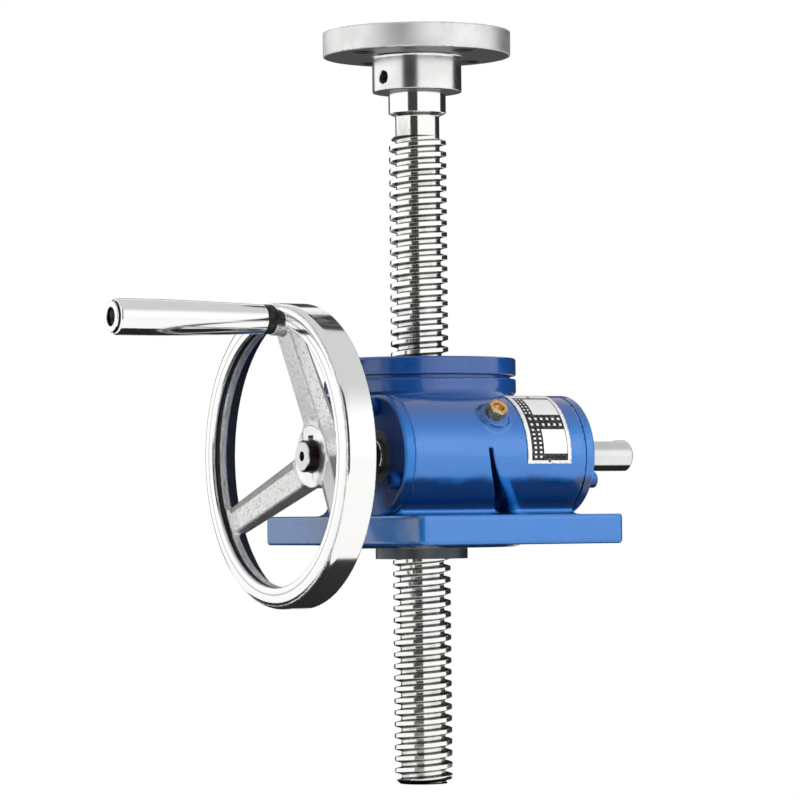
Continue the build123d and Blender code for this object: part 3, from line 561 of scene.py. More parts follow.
def together(*surfaces):
    """Several surfaces as one: the points in turn, and the faces counted on."""
    starts = np.cumsum([0] + [len(surface[0]) for surface in surfaces])
    faces = [some + start for start, surface in zip(starts, surfaces) for some in surface[1]]
    points = np.concatenate([surface[0] for surface in surfaces])
    return points, faces, np.concatenate([surface[2] for surface in surfaces])


def cover_recipe(place):
    """The enamel of the cover behind the handwheel, with painted shade on its face: darker and
    duller inside a radius round the worm shaft's axis, most of all above a height."""
    x, _, z, radius = round_worm(place)
    # dark is painted shade on the cover's face, weaker low down.
    dark = x.fall(-0.0546, -0.0540) * radius.fall(0.0292, 0.0302)
    dark = dark * (0.35 + 0.65 * z.ramp(-0.021, -0.011))
    sockets = with_painted_shade(enamel_recipe(place, *ENAMEL), dark, (0.001, 0.034, 0.165), dark * 0.25)
    return {**sockets, "Coat Weight": 0.9 - dark * 0.88, "Specular IOR Level": 0.15}


enamel_with_painted_shade = finish_of("enamel_with_painted_shade", cover_recipe)
screw_outline = [
    (0.0, -COVER_SCREW_HEAD),
    (COVER_SCREW_HEAD_R, -COVER_SCREW_HEAD),
    (COVER_SCREW_HEAD_R, 0.0),
    (2.5, 0.0),
    (2.0, -1.2),
    (0.0, -1.2),
]
screw_heads = []
for side, side_name, paint in ((-1, "left", enamel_with_painted_shade), (1, "right", enamel)):
    end_cover_outline = outline_of(
        [
            (SEAL_R, side * (CROSS_HALF - 6.0)),
            (BEARING_R, side * (CROSS_HALF - 6.0)),
            (BEARING_R, side * CROSS_HALF),
            (CROSS_R, side * CROSS_HALF),
            (CROSS_R, side * COVER_FACE_X),
            (SEAL_R, side * COVER_FACE_X),
        ],
        [0.3, 0.3, 0.1, 0.4, 2.2, 0.8],
    )
    end_cover = spun(end_cover_outline, 160, "X", (WORM_Y, WORM_Z))
    end_cover = new_piece(f"{side_name}_cover", end_cover, paint)
    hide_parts(f"{side_name}_end_cover")
    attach(end_cover, "base")
    for turn in COVER_SCREW_TURNS:
        head = [(r, side * (COVER_FACE_X + COVER_SCREW_HEAD + h)) for r, h in screw_outline]
        middle = (WORM_Y + COVER_SCREW_R * math.cos(turn), WORM_Z + COVER_SCREW_R * math.sin(turn))
        head = outline_of(head, [0.1, 0.4, 1.3, 0.5, 0.6, 0.1], False)
        screw_heads.append(spun(head, 40, "X", middle))
cover_screws = new_piece("cover_screw_heads", together(*screw_heads), enamel_with_painted_shade)
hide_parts("end_cover_screws")
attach(cover_screws, "base")
dress(nitrile, "left_oil_seal", "right_oil_seal")

# ---- Oil plug --------------------------------------------
# A small brass hexagon plug in a spot-faced boss. Its corners are chamfered on the
# lathe and a hollow is turned in its head; it is fitted after painting.

PLUG_FLATS, PLUG_HEAD = 9.2, 5.5


def hexagon(a, b, flats):
    """Offsets from the three pairs of sides of a hexagon of a width across its flats."""
    return [abs(turned_by(turn, a, b)[0]) - flats / 2 for turn in np.radians([0.0, 60.0, 120.0])]


def plug_distance(x, y, z):
    """A hexagonal prism and its shank, cut by a 60 degree cone, less a dished hollow."""
    along, across = turned_by(PLUG_TURN, y - WORM_Y, z - WORM_Z)
    along, radius = along - PLUG_SEAT, length_of(x - PLUG_X, across)
    cone = (along - PLUG_HEAD) * 0.866 + (radius - 0.47 * PLUG_FLATS) * 0.5
    flats = hexagon(x - PLUG_X, across, PLUG_FLATS)
    head = within(0.15, *flats, cone, along - PLUG_HEAD, -along)
    shank = within(0.1, radius - PLUG_SHANK_R, along, -13.0 - along)
    dish = length_of(radius, along - PLUG_HEAD) - 2.7
    hollow = joined(within(0.1, radius - 2.3, PLUG_HEAD - 1.6 - along), dish, 0.3)
    return cut_from(np.minimum(head, shank), hollow, 0.25)


# turned brass with a brown film that comes and goes
BRASS = (260.0, 4.0), (0.40, 0.66), (0.62, 0.32, 0.10), (0.98, 0.74, 0.36), 1.0, (0.24, 0.18)
brass = finish_of("turned_brass", filmed_recipe, *BRASS, (1900.0, 2.0), 0.000012)
oil_plug = new_piece("brass_plug", skin(plug_distance, "oil_plug", 0.32, 1.5), brass)
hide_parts("oil_plug")
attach(oil_plug, "base")

# ---- Data plate ------------------------------------------
# A thin printed aluminium plate bent round the cross cylinder and held by two small
# copper rivets. Its fields are ruled but left blank.

PLATE_X, PLATE_WIDTH = 15.0, 25.8
PLATE_LOW, PLATE_HIGH = math.radians(188.0), math.radians(103.5)
PLATE_IN_R, PLATE_OUT_R = CROSS_R + 0.1, CROSS_R + 0.6


def plate_surface():
    """A bent sheet: x = start + u width and angle = low + v (high - low), on the outer radius
    inside the edge and on the inner radius round it; the back is the same, turned over."""
    u, v = np.meshgrid(np.linspace(0, 1, 15), np.linspace(0, 1, 61), indexing="ij")
    x, turn = PLATE_X + u * PLATE_WIDTH, PLATE_LOW + v * (PLATE_HIGH - PLATE_LOW)
    sheets = []
    for radius, facing in ((PLATE_OUT_R, 1.0), (PLATE_IN_R, -1.0)):
        points = np.stack([x, WORM_Y + radius * np.cos(turn), WORM_Z + radius * np.sin(turn)], axis=-1)
        normals = np.stack([np.zeros_like(turn), np.cos(turn), np.sin(turn)], axis=-1) * facing
        sheets.append((points.reshape(-1, 3), normals.reshape(-1, 3)))
    rows, columns = u.shape
    back = grid_faces(rows, columns)
    rim = np.concatenate(
        [
            np.arange(columns),
            np.arange(1, rows) * columns + columns - 1,
            (rows - 1) * columns + np.arange(columns - 2, -1, -1),
            np.arange(rows - 2, 0, -1) * columns,
        ]
    )
    outer = [points[rim] for points, _ in sheets]
    sideways = np.roll(outer[0], -1, axis=0) - np.roll(outer[0], 1, axis=0)
    edge_normals = np.cross(outer[0] - outer[1], sideways)
    edge_normals /= np.linalg.norm(edge_normals, axis=1, keepdims=True)
    edge = grid_faces(2, len(rim), False, True) + 2 * rows * columns
    points = np.concatenate([sheets[0][0], sheets[1][0], *outer])
    normals = np.concatenate([sheets[0][1], sheets[1][1], edge_normals, edge_normals])
    flat = np.stack([u, v], axis=-1).reshape(-1, 2)
    surface = points, [back[:, ::-1], back + rows * columns, edge], normals
    return surface, np.concatenate([flat, flat, flat[rim], flat[rim]])


def plate_recipe(place):
    """Printed aluminium: a pale border, black ruled fields with pale blank cells, and grime
    gathered along the edges. Fields are boxes in the sheet's own flat coordinates."""
    flat = place.add("ShaderNodeUVMap", {"uv_map": "unwrapped"})
    u, v = flat.part("X"), flat.part("Y")

    def span(along, start, end):
        return along.math("GREATER_THAN", along, start) * along.math("LESS_THAN", along, end)

    def field(left, right, low, high):
        return span(u, left, right) * span(v, low, high)

    def stripes(along, start, end, count, share):
        """Count equal steps from start to end, each filled for a share of its width."""
        step = along.math("FRACT", (along - start) * (count / (end - start)))
        return step.math("COMPARE", step, 0.5, share / 2)

    def cells(left, right, low, high, across, up, share):
        """A field of across by up cells, each filled for a share of its width and height."""
        filled = stripes(u, left, right, across, share) * stripes(v, low, high, up, share)
        return field(left, right, low, high) * filled

    black = field(0.09, 0.92, 0.035, 0.90)
    pale = field(0.30, 0.90, 0.575, 0.865) + field(0.37, 0.905, 0.11, 0.385)
    pale = pale + cells(0.12, 0.91, 0.405, 0.555, 6, 2, 0.42)
    pale = pale + cells(0.12, 0.36, 0.05, 0.40, 2, 7, 0.44)
    pale = pale + cells(0.11, 0.28, 0.575, 0.88, 2, 6, 0.44)
    ink = black * (1.0 - pale.smaller(1.0))
    wear = place.noise(700.0, 4.0)
    printed = (ink * (0.80 + 0.35 * wear)).tint((0.95, 0.95, 0.95), (0.008, 0.008, 0.010))
    edge = (u.smaller(1.0 - u) * 0.55).smaller(v.smaller(1.0 - v))
    grime = edge.fall(0.0, 0.030) * wear.ramp(0.35, 0.65)
    return {
        "Base Color": (grime * 0.55).tint(printed, (0.22, 0.17, 0.13)),
        "Metallic": 0.5,
        "Roughness": 0.34 + wear * 0.15,
        "Normal": ink.bump(-0.00003, wear.bump(0.00001)),
    }


plate_skin, plate_flat = plate_surface()
plate = new_piece("printed_plate", plate_skin, finish_of("printed_aluminium", plate_recipe), plate_flat)
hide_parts("nameplate")
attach(plate, "base")


def copper_recipe(place):
    """A dull copper rivet head, mottled darker and lighter by a film."""
    film = place.noise(900.0, 3.0)
    return {
        "Base Color": film.ramp(0.30, 0.65).tint((0.16, 0.045, 0.025), (0.50, 0.20, 0.13)),
        "Metallic": 0.8,
        "Roughness": 0.35 + film * 0.2,
    }


def rivet(turn):
    """A low dome, r cos t across and h sin t up, at an angle round the cross cylinder."""
    t = np.linspace(0, math.pi / 2, 7)
    dome = np.stack([1.25 * np.cos(t), 0.62 * np.sin(t)], axis=1)
    facing = np.stack([0.62 * np.cos(t), 1.25 * np.sin(t)], axis=1)
    facing /= np.linalg.norm(facing, axis=1, keepdims=True)
    dome = np.concatenate([[[0.0, -0.3], [1.25, -0.3]], dome])
    facing = np.concatenate([[[0.0, -1.0], [1.0, 0.0]], facing])
    dome[-1, 0] = 0.0
    points, faces, normals = spun((dome, facing, 1.0), 24)
    out = np.array([0.0, math.cos(turn), math.sin(turn)])
    frame_axes = np.stack([[1.0, 0.0, 0.0], np.cross(out, [1.0, 0.0, 0.0]), out])
    foot = np.array([PLATE_X + PLATE_WIDTH / 2, WORM_Y, WORM_Z]) + out * (PLATE_OUT_R - 0.35)
    return foot + points @ frame_axes, faces, normals @ frame_axes


rivets = together(rivet(math.radians(180.0 - 70.5)), rivet(math.radians(180.0 + 4.8)))
rivets = new_piece("plate_rivets", rivets, finish_of("copper_rivet", copper_recipe))
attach(rivets, "base")

# ---- Lifting screw ---------------------------------------
# A ground bar with a whirled 30 x 6 trapezoidal thread, a plain neck as the thread's
# run-out and a collar that the flange sits on. Painted shade and oil darken its flanks.

SCREW_R, SCREW_PITCH, SCREW_DEPTH, CREST_SHARE, ROOT_SHARE = 15.0, 6.0, 3.5, 0.366, 0.3215
SCREW_BOTTOM, NECK_BOTTOM, NECK_R = -124.2, 212.7, 11.5
COLLAR_LOW, HUB_BOTTOM, FLANGE_TOP, SPIGOT_R = 224.8, 235.7, 267.3, 10.0


def thread_section():
    """One pitch of the thread as (share of the pitch, radius, slope), with 15 degree flanks
    and small rounds, read from a rounded outline of the ridge."""
    crest, root = CREST_SHARE * SCREW_PITCH / 2, (1.0 - ROOT_SHARE) * SCREW_PITCH / 2
    foot = SCREW_R - SCREW_DEPTH
    ridge = [(-0.5 * SCREW_PITCH, foot - 5), (-0.5 * SCREW_PITCH, foot), (-root, foot), (-crest, SCREW_R)]
    ridge += [(-a, r) for a, r in reversed(ridge)]
    points, normals, _ = outline_of(ridge, [0, 0.05, 0.5, 0.25, 0.25, 0.5, 0.05, 0], steps=4)
    kept = slice(2 * 4 - 1, 7 * 4 - 3)
    share = (points[kept, 0] / SCREW_PITCH) % 1.0
    order = np.argsort(share)
    return share[order], points[kept, 1][order], (-normals[kept, 0] / normals[kept, 1])[order]


def thread_surface(low, high, around=96):
    """The thread on helical rows: height = pitch (turn + share + angle / 2 pi), kept between
    the ends, and radius read back from the section, under a 45 degree chamfer at each end."""
    share, radius, slope = thread_section()
    turns = np.arange(math.floor(low / SCREW_PITCH) - 2, math.ceil(high / SCREW_PITCH) + 2)
    rows = (turns[:, None] + share[None, :]).ravel()
    t = np.arange(around + 1) / around
    z = np.clip(SCREW_PITCH * (rows[:, None] + t[None, :]), low, high)
    phase = (z / SCREW_PITCH - t[None, :]) % 1.0
    wrapped = np.concatenate([share - 1, share, share + 1])
    r = np.interp(phase, wrapped, np.tile(radius, 3))
    rise = np.interp(phase, wrapped, np.tile(slope, 3))
    chamfer = np.minimum(SCREW_R - 2.6 + (z - low), SCREW_R - 2.6 + (high - z))
    rise = np.where(chamfer < r, np.where(z - low < high - z, 1.0, -1.0), rise)
    r = np.minimum(r, chamfer)
    angle = 2 * math.pi * t[None, :] + 0 * z
    points = np.stack([r * np.cos(angle), r * np.sin(angle), z], axis=-1)
    spiral = SCREW_PITCH * rise / (2 * math.pi * r)
    cosine, sine = np.cos(angle), np.sin(angle)
    normals = np.stack([cosine - spiral * sine, sine + spiral * cosine, -rise], axis=-1)
    normals /= np.linalg.norm(normals, axis=-1, keepdims=True)
    used = (z.max(axis=1) > low) & (z.min(axis=1) < high)
    first = max(np.argmax(used) - 1, 0)
    last = len(used) - np.argmax(used[::-1]) + 1
    points, normals = points[first:last], normals[first:last]
    quads = grid_faces(len(points), around + 1)
    flat = points.reshape(-1, 3)
    tall = np.linalg.norm(flat[quads[:, 0]] - flat[quads[:, 3]], axis=1)
    tall += np.linalg.norm(flat[quads[:, 1]] - flat[quads[:, 2]], axis=1)
    return flat, [quads[tall > 1e-6]], normals.reshape(-1, 3)


def screw_ends():
    """The end faces, neck, collar and spigot, turned from one open outline each."""
    bottom = [(0.0, SCREW_BOTTOM + 6.0), (1.25, SCREW_BOTTOM + 6.0), (1.25, SCREW_BOTTOM + 2.2)]
    bottom += [(2.5, SCREW_BOTTOM), (12.35, SCREW_BOTTOM), (11.4, SCREW_BOTTOM + 1.5)]
    bottom += [(0.0, SCREW_BOTTOM + 8.0)]
    top = [(0.0, NECK_BOTTOM - 4.0), (NECK_R - 0.1, NECK_BOTTOM - 4.0), (NECK_R, NECK_BOTTOM)]
    top += [(NECK_R, 223.2), (SCREW_R, COLLAR_LOW), (SCREW_R, HUB_BOTTOM), (SPIGOT_R, HUB_BOTTOM)]
    top += [(SPIGOT_R, FLANGE_TOP), (0.0, FLANGE_TOP)]
    return (
        spun(outline_of(bottom, 0.05, False), 96),
        spun(outline_of(top, [0.1, 0.1, 0.1, 0.6, 0.3, 0.2, 0.1, 0.4, 0.1], False), 96),
    )


def thread_recipe(place):
    """Ground crests and roots over flanks painted dark as shade, told apart by their radius,
    under a brown film of oil that comes and goes."""
    radius = length_of(place.part("X"), place.part("Y"))
    flank_shade = radius.between(0.01165, 0.0122, 0.0140, 0.0148)
    film = place.noise(110.0, 4.0, (1.0, 1.0, 0.5)).ramp(0.42, 0.70)
    marks = place.noise(900.0, 2.0, (1.0, 1.0, 4.0))
    # The flanks get painted shade; below the crests a little more darkening is added, most under the oil
    # film.
    darkening = flank_shade * 0.9 + radius.fall(0.0122, 0.0146) * (0.04 + 0.26 * film)
    return {
        "Base Color": darkening.smaller(1.0).tint((0.96, 0.95, 0.93), (0.06, 0.052, 0.045)),
        "Metallic": 1.0,
        "Roughness": 0.10 + darkening * 0.20 + film * 0.06,
        "Normal": marks.bump(0.000004),
    }


screw_surface = together(thread_surface(SCREW_BOTTOM, NECK_BOTTOM), *screw_ends())
lifting_screw = new_piece("threaded_bar", screw_surface, finish_of("thread_steel", thread_recipe))
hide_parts("lifting_screw")
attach(lifting_screw, "lift")

# ---- Top flange ------------------------------------------
# A round steel flange with a hub, turned in one setting, drilled for four bolts and
# cross-drilled for the grub screw that locks it on the screw's spigot.

FLANGE_R, FLANGE_LOW, FLANGE_HUB_R, FLANGE_TURN = 49.0, 254.5, 23.3, math.radians(11.0)
FLANGE_HOLE_R, FLANGE_HOLE_CIRCLE_R = 5.5, 36.8
GRUB_R, GRUB_UP, GRUB_TIP, GRUB_SOCKET, GRUB_END, GRUB_FLATS = 3.25, 7.0, 8.5, 13.0, 16.3, 3.0


def grub_place(x, y, z):
    """How far out along the grub hole a point is, and its two offsets from the hole's middle."""
    return *turned_by(math.pi + FLANGE_TURN, x, y), z - HUB_BOTTOM - GRUB_UP


def flange_distance(x, y, z):
    """Disc and hub with a small fillet, less the bore, four drilled holes and the grub hole."""
    radius = length_of(x, y)
    disc = within(0.5, radius - FLANGE_R, z - FLANGE_TOP, FLANGE_LOW - z)
    hub = within(0.7, radius - FLANGE_HUB_R, HUB_BOTTOM - z, z - FLANGE_LOW - 4.0)
    body = cut_from(joined(disc, hub, 1.2), radius - SPIGOT_R, 0.4)
    for quarter in range(4):
        turn = FLANGE_TURN + quarter * math.pi / 2
        out, beside = turned_by(turn, x, y)
        body = cut_from(body, length_of(out - FLANGE_HOLE_CIRCLE_R, beside) - FLANGE_HOLE_R, 0.5)
    along, beside, rise = grub_place(x, y, z)
    return cut_from(body, np.maximum(length_of(beside, rise) - GRUB_R, SPIGOT_R - along), 0.4)


def grub_distance(x, y, z):
    """The grub screw: a rod with a chamfered end, less its hexagon socket."""
    along, beside, rise = grub_place(x, y, z)
    radius = length_of(beside, rise)
    chamfer = (radius + along - 19.0) * 0.7
    rod = within(0.1, radius - GRUB_R + 0.1, along - GRUB_END, GRUB_TIP - along, chamfer)
    socket = within(0.05, *hexagon(beside, rise, GRUB_FLATS), GRUB_SOCKET - along)
    return cut_from(rod, socket, 0.1)


def flange_recipe(place):
    """Turned steel: the disc's edge dull from handling, the hub brighter, and painted shade on the
    faces that look down, told apart by their radius and height."""
    radius, z = length_of(place.part("X"), place.part("Y")), place.part("Z")
    edge = radius.ramp(0.0480, 0.0485)
    # under is painted shade on the disc's underside and the hub's bottom face.
    under = (1.0 - edge) * radius.ramp(0.0236, 0.0242) * z.fall(0.2560, 0.2600)
    under = under.larger(z.fall(0.2358, 0.2362))
    sockets = turned_recipe(place, (0.93, 0.93, 0.92), (0.80, 0.79, 0.78), 0.15)
    film = place.noise(220.0, 3.0)
    underside_shade = under * (0.92 + 0.08 * film)
    return with_painted_shade(sockets, underside_shade, (0.030, 0.026, 0.024), edge * 0.24 + under * 0.15)


top_flange = skin(flange_distance, "top_flange", 0.9)
top_flange = new_piece("turned_flange", top_flange, finish_of("flange_steel", flange_recipe))
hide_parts("top_flange")
grub_screw = new_piece("grub_screw", skin(grub_distance, "flange_grub_screw", 0.25), blackened)
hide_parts("flange_grub_screw")
for piece, slot in ((top_flange, "ground_steel"), (grub_screw, "black_oxide")):
    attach(piece, "lift")

# ---- Handwheel -------------------------------------------
# A dished aluminium casting: three rough sand-cast spokes run back from the rim to the
# hub. The rim is turned and polished all round, and the hub is faced, bored and keyed.

RIM_FRONT, RIM_BACK, RIM_R, RIM_IN_R = -114.8, -97.8, 76.0, 65.2
RING_BACK, SKIRT_R = -106.0, 71.8
HUB_FRONT, HUB_BACK, HUB_R = -92.7, -70.2, 16.0
HANDLE_Z, BOSS_R, SPINDLE_R = WORM_Z + 68.0, 8.0, 4.0
SHAFT_R, KEY_HALF, KEY_TOP = 8.0, 2.5, 10.0
SPOKE_TURNS = np.radians([90.0, 210.0, 330.0])
SPOKE_START, SPOKE_SPAN, SPOKE_HUB_X, SPOKE_RIM_X, SPOKE_LEAN = 11.0, 54.5, -85.2, -105.8, 0.378
SPOKE_THICK, SPOKE_WIDE, SPOKE_TAPER = 5.5, 8.5, 1.5
SET_SCREW_TURN, SET_SCREW_R = math.radians(230.0), 3.0


def handwheel_distance(x, y, z):
    """Rim: a thick front ring, its outer edge well rounded, its inner wall grooved, with a thin
    skirt behind; hub, boss and tapering spokes run into it with fillets; then the holes."""
    y, z = y - WORM_Y, z - WORM_Z
    radius = length_of(y, z)
    corner = cut_from(radius - RIM_R, x - RIM_FRONT, 4.6)
    ring = within(1.0, corner, x - RING_BACK, RIM_IN_R - radius)
    ring = cut_from(ring, length_of(radius - RIM_IN_R + 0.3, x - RIM_FRONT - 3.4) - 1.4, 0.4)
    skirt = within(0.8, radius - RIM_R, x - RIM_BACK, SKIRT_R - radius, RING_BACK - 3.0 - x)
    hub = within(1.0, radius - HUB_R, HUB_FRONT - x, x - HUB_BACK)
    body = hub
    for turn in SPOKE_TURNS:
        along, beside = turned_by(turn, y, z)
        share = np.clip((along - SPOKE_START) / SPOKE_SPAN, 0, 1)
        middle = SPOKE_HUB_X + share * (SPOKE_RIM_X - SPOKE_HUB_X)
        thick, wide = SPOKE_THICK - SPOKE_TAPER * share, SPOKE_WIDE - SPOKE_TAPER * share
        sides = abs(x - middle) * 0.935 - thick, abs(beside) - wide
        body = joined(body, within(1.8, *sides, along - 66.0, 6.0 - along), 3.0)
    body = joined(body, joined(ring, skirt, 1.5), 2.5)
    spindle = length_of(y, z - HANDLE_Z + WORM_Z)
    body = joined(body, within(0.6, spindle - BOSS_R, RIM_FRONT - x, x - RIM_BACK), 1.0)
    body = cut_from(body, spindle - SPINDLE_R, 0.1)
    body = np.maximum(body, np.maximum(np.maximum(radius - RIM_R, RIM_FRONT - x), x - HUB_BACK))
    keyway = within(0.1, abs(y) - KEY_HALF, z - KEY_TOP, -z)
    body = cut_from(body, np.minimum(radius - SHAFT_R, keyway), 0.4)
    along, beside = turned_by(SET_SCREW_TURN, y, z)
    hole = length_of(beside, x - (HUB_FRONT + HUB_BACK) / 2) - SET_SCREW_R
    return cut_from(body, np.maximum(hole, -along), 0.3)


def handwheel_recipe(place):
    """Polished rim and faced hub against matt, pitted sand-cast spokes and inner wall, told
    apart by the distance from the shaft's axis; painted shade in the wall's groove and the skirt.
    The spokes' sides carry painted shade, darker where they face up, most along one edge of each."""
    x, y, z, radius = round_worm(place)
    ragged = place.noise(420.0, 3.0) * 0.0005
    front = x.fall(-0.1142, -0.1136) * radius.ramp(0.0645, 0.0650)
    band = (radius + ragged).ramp(0.0748, 0.0752)
    face = radius.fall(0.0152, 0.0156) * x.fall(-0.0926, -0.0922)
    polish = front.larger(band)
    bright = polish.larger(face)
    wall = radius.ramp(0.0640, 0.0650) * (1.0 - band)
    groove_shade = wall * x.between(-0.1130, -0.1124, -0.1104, -0.1098)
    line = front * radius.between(0.0682, 0.0685, 0.0690, 0.0693)
    skirt = wall * x.ramp(-0.1064, -0.1056)
    # side and shaded paint shade on the spokes: on their sides, darker where these face up, and in a
    # strip along one edge of each.
    facing = place.add("ShaderNodeTexCoord", output="Normal")
    side = (0.0 - facing.part("X")).fall(0.35, 0.75)
    side = side * radius.between(0.0165, 0.0180, 0.0620, 0.0640)
    side = side * (0.06 + 0.60 * facing.part("Z").ramp(0.30, 0.80))
    for turn, low, high in zip(SPOKE_TURNS, (0.0066, 0.0035, 0.0030), (0.0070, 0.0043, 0.0038)):
        along, beside = turned_by(turn, y, z)
        shaded = beside.between(low, high, 0.0095, 0.0105)
        if turn == SPOKE_TURNS[0]:
            behind = x - SPOKE_HUB_X * MM + (along - SPOKE_START * MM) * SPOKE_LEAN
            shaded = shaded * behind.ramp(0.0026, 0.0032)
        shaded = shaded * along.ramp(0.0165, 0.0180) * radius.fall(0.0620, 0.0635)
        side = side.larger(shaded * (0.95 - 0.30 * facing.part("Z").ramp(-0.2, 0.2)))
    grain = place.noise(1300.0, 3.0)
    lumps = place.noise(330.0, 3.0)
    pits = place.noise(800.0, 2.0).ramp(0.54, 0.72)
    streaks = place.noise(160.0, 3.0, (4.0, 1.0, 1.0)).ramp(0.35, 0.70)
    rings = place.add("ShaderNodeCombineXYZ", {}, {0: radius, 1: x}).noise(2400.0, 2.0)
    cast = (pits * 0.20 + grain * 0.4).tint((0.96, 0.96, 0.95), (0.50, 0.50, 0.48))
    cast = (wall * streaks * 0.6).tint(cast, (0.42, 0.38, 0.33))
    # The groove and the skirt are painted dark navy as shade.
    darkening = (groove_shade + skirt).smaller(1.0)
    cast = side.tint((darkening * 0.96).tint(cast, (0.010, 0.012, 0.026)), (0.13, 0.115, 0.105))
    cast_height = (1.0 - bright) * (grain * 0.35 + lumps * 1.2 - pits * 0.6)
    return {
        "Base Color": (line * 0.6).tint(bright.tint(cast, (0.96, 0.96, 0.95)), (0.25, 0.25, 0.25)),
        "Metallic": 0.90 + bright * 0.07,
        "Roughness": 0.46 - bright * 0.18 - polish * 0.19 + rings * 0.03,
        "Normal": cast_height.bump(0.00030, (rings * bright).bump(0.0000018)),
    }


handwheel = skin(handwheel_distance, "handwheel", 0.85)
handwheel = new_piece("cast_handwheel", handwheel, finish_of("cast_aluminium", handwheel_recipe))
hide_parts("handwheel")
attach(handwheel, "crank")
dress(blackened, "hub_set_screw")

# ---- Crank handle ----------------------------------------
# A polished steel sleeve that turns on a spindle riveted into the rim, behind a black
# collar. A black countersunk screw keeps it on.

SLEEVE_START, SLEEVE_END = -119.3, -202.9
SLEEVE_SMALL_R, SLEEVE_LARGE_R = 7.25, 9.0


def chrome_recipe(place):
    """Bright chrome plate with faint hairlines from wiping, and painted shade in the groove by its end.
    """
    x = place.part("X")
    # A band of painted shade in the groove by the sleeve's end.
    groove_shade = x.between(-0.2023, -0.2021, -0.2011, -0.2009)
    hairlines = place.noise(3000.0, 1.0, (0.04, 1.0, 1.0))
    film = place.noise(90.0, 3.0)
    bright = film.tint((0.92, 0.92, 0.92), (0.97, 0.97, 0.97))
    return {
        "Base Color": groove_shade.tint(bright, (0.02, 0.02, 0.02)),
        "Metallic": 1.0,
        "Roughness": 0.06 + film * 0.05,
        "Normal": hairlines.bump(0.0000006),
    }


sleeve_outline = outline_of(
    [
        (SPINDLE_R + 0.25, SLEEVE_START),
        (SLEEVE_SMALL_R, SLEEVE_START),
        (8.35, -150.0),
        (SLEEVE_LARGE_R, -176.0),
        (SLEEVE_LARGE_R, SLEEVE_END + 2.6),
        (SLEEVE_LARGE_R - 1.3, SLEEVE_END + 1.7),
        (SLEEVE_LARGE_R - 1.3, SLEEVE_END),
        (4.7, SLEEVE_END),
        (4.7, SLEEVE_END + 4.0),
        (SPINDLE_R + 0.25, SLEEVE_END + 4.0),
    ],
    [0.2, 0.6, 12.0, 10.0, 1.0, 0.3, 0.7, 0.4, 0.2, 0.2],
    steps=10,
)
sleeve = spun(sleeve_outline, 96, "X", (WORM_Y, HANDLE_Z))
sleeve = new_piece("chrome_sleeve", sleeve, finish_of("chrome_plate", chrome_recipe))
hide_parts("handle_sleeve")
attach(sleeve, "handle")

collar_outline = outline_of(
    [(SPINDLE_R, RIM_FRONT - 4.3), (7.4, RIM_FRONT - 4.3), (7.4, RIM_FRONT), (SPINDLE_R, RIM_FRONT)],
    [0.2, 0.6, 0.2, 0.2],
)
collar = new_piece("black_collar", spun(collar_outline, 80, "X", (WORM_Y, HANDLE_Z)), blackened)
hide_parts("handle_collar")
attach(collar, "crank")
dress(shaft_steel, "handle_spindle")
dress(blackened, "handle_end_screw")

# ---- Room, camera and light ------------------------------
# A plain pale floor in a white room: a wide soft box to the right, a weaker warm one to
# the left and one overhead, with dark screens between them for the bright metal to show.

LENS, YAW, PITCH, ROLL = 179.6175, 0.52031, 0.02892, 0.01003
camera_data = bpy.data.cameras.new("camera")
camera_data.sensor_width, camera_data.lens = 36.0, LENS
camera_data.clip_end = 60.0
camera = placed("camera", camera_data)
camera.location = (-1.04370, -1.80046, 0.01507)
camera.rotation_mode = "QUATERNION"
level = Matrix.Rotation(-YAW, 4, "Z") @ Matrix.Rotation(math.pi / 2 + PITCH, 4, "X")
camera.rotation_quaternion = (level @ Matrix.Rotation(-ROLL, 4, "Z")).to_quaternion()
bpy.context.scene.camera = camera


def out_towards(azimuth, elevation):
    """A unit vector from the jack, at an angle round from the viewer's side and one up."""
    a, e = math.radians(azimuth), math.radians(elevation)
    back, right = Vector((-math.sin(YAW), -math.cos(YAW), 0)), Vector((math.cos(YAW), -math.sin(YAW), 0))
    return (back * math.cos(a) + right * math.sin(a)) * math.cos(e) + Vector((0, 0, math.sin(e)))


for name, azimuth, elevation, far, width, height, watts, colour in (
    ("key_box", 42.0, 18.0, 2.3, 2.2, 1.2, 58.0, (1.0, 1.0, 1.0)),
    ("warm_box", -84.0, 14.0, 2.4, 1.6, 1.3, 26.0, (1.0, 0.97, 0.94)),
    ("ceiling_box", 150.0, 68.0, 2.3, 2.4, 1.6, 4.0, (1.0, 1.0, 1.0)),
):
    lamp_data = bpy.data.lights.new(name, "AREA")
    lamp_data.shape = "RECTANGLE"
    lamp_data.size, lamp_data.size_y, lamp_data.energy, lamp_data.color = width, height, watts, colour
    lamp = placed(name, lamp_data)
    way = out_towards(azimuth, elevation)
    lamp.location = way * far
    lamp.rotation_mode = "QUATERNION"
    lamp.rotation_quaternion = way.to_track_quat("Z", "Y")
    lamp.visible_camera = False
    lamp.visible_glossy = False

world = bpy.data.worlds.new("room")
bpy.context.scene.world = world
world.use_nodes = True
room = world.node_tree
room.nodes.clear()


def seen_by(tree):
    """Two masks: 1 for rays from the camera, and 1 for those off metal or through glass."""
    watched, mirrored, through = (
        Field(tree).add("ShaderNodeLightPath", output=f"Is {kind} Ray")
        for kind in ("Camera", "Glossy", "Transmission")
    )
    return watched, mirrored.larger(through)


room_watched, room_mirrored = seen_by(room)
upward = Field(room).add("ShaderNodeTexCoord", output="Generated").part("Z")
mirrored = room_mirrored * (0.97 - 0.42 * upward.ramp(0.40, 0.75))
strength = 0.10 + room_watched * 0.90 + mirrored
wall = strength.add("ShaderNodeBackground", {}, {"Color": (1, 1, 1, 1), "Strength": strength})
wall.close("ShaderNodeOutputWorld")


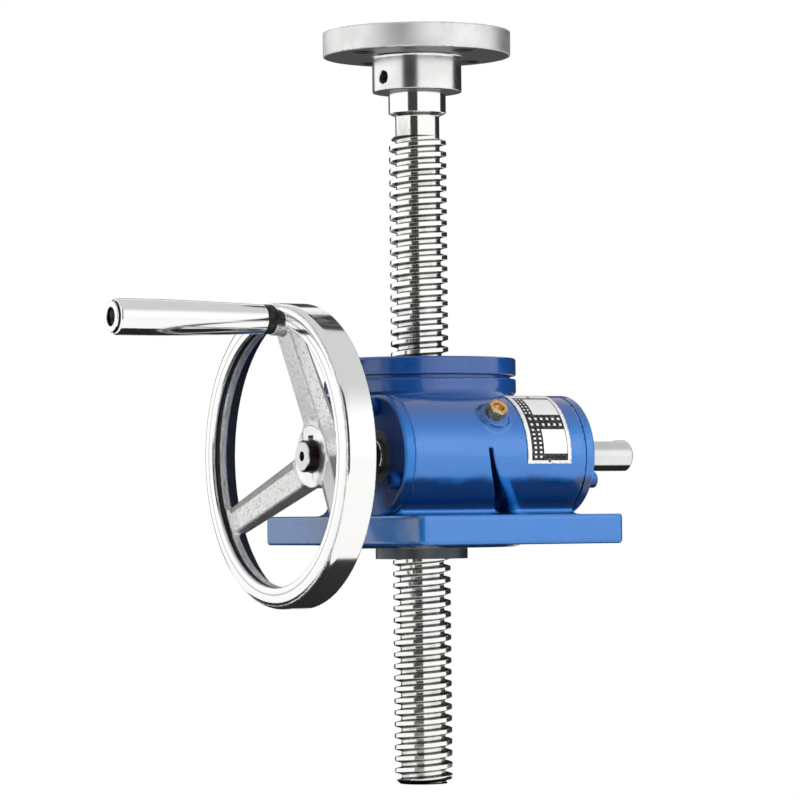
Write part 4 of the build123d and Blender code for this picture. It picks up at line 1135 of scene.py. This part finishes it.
def flat_stage(name, corners):
    """One quad of the stage, from its corners in metres."""
    mesh = bpy.data.meshes.new(name)
    mesh.from_pydata([tuple(corner) for corner in corners], [], [(0, 1, 2, 3)])
    piece = placed(name, mesh)
    material = bpy.data.materials.new(name)
    material.use_nodes = True
    material.node_tree.nodes.clear()
    mesh.materials.append(material)
    return piece, material.node_tree


FLOOR_Z, FLOOR_HALF = -0.2262, 14.0
floor_signs = ((-1, -1), (1, -1), (1, 1), (-1, 1))
floor_corners = [(a * FLOOR_HALF, b * FLOOR_HALF, FLOOR_Z) for a, b in floor_signs]
_, floor_tree = flat_stage("pale_floor", floor_corners)
floor_watched, floor_mirrored = seen_by(floor_tree)
place = Field(floor_tree).add("ShaderNodeTexCoord", output="Object")
distance = length_of(place.part("X"), place.part("Y"))
far = distance.ramp(0.45, 1.30) * floor_watched + floor_mirrored
pale = floor_watched.tint((0.16, 0.16, 0.17), (0.86, 0.86, 0.86))
matt = place.add("ShaderNodeBsdfDiffuse", {}, {"Color": pale})
glow = place.add("ShaderNodeEmission", {}, {"Color": (1, 1, 1, 1), "Strength": 1.0})
mixed = place.add("ShaderNodeMixShader", {}, {0: far, 1: matt, 2: glow})
mixed.close("ShaderNodeOutputMaterial")

# The first dark stage is a sheet on the floor under the jack that only reflections see: a painted shadow
# of the jack.
board = [(-0.40, -0.13), (0.60, -0.13), (0.60, 0.80), (-0.40, 0.80)]
dark_stages = [("shadow_board_below", [Vector((*corner, FLOOR_Z + 0.004)) for corner in board], 0.02)]
for name, azimuth, far_off, width, low, high, grey in (
    ("screen_front", -18.0, 1.4, 1.0, -0.22, 1.2, 0.05),
    ("screen_right", 134.0, 1.5, 1.6, -0.22, 0.9, 0.03),
    ("screen_behind", -170.0, 1.5, 1.6, -0.22, 0.9, 0.05),
):
    middle, beside = out_towards(azimuth, 0.0) * far_off, out_towards(azimuth + 90.0, 0.0) * (width / 2)
    low, high = Vector((0, 0, low)), Vector((0, 0, high))
    near, away = middle - beside, middle + beside
    dark_stages.append((name, [near + low, away + low, away + high, near + high], grey))
for name, corners, grey in dark_stages:
    screen, screen_tree = flat_stage(name, corners)
    screen.visible_camera = screen.visible_diffuse = screen.visible_shadow = False
    matt = Field(screen_tree).add("ShaderNodeEmission", {}, {"Color": (grey, grey, grey, 1)})
    matt.close("ShaderNodeOutputMaterial")

bpy.context.scene.view_settings.view_transform = "Standard"
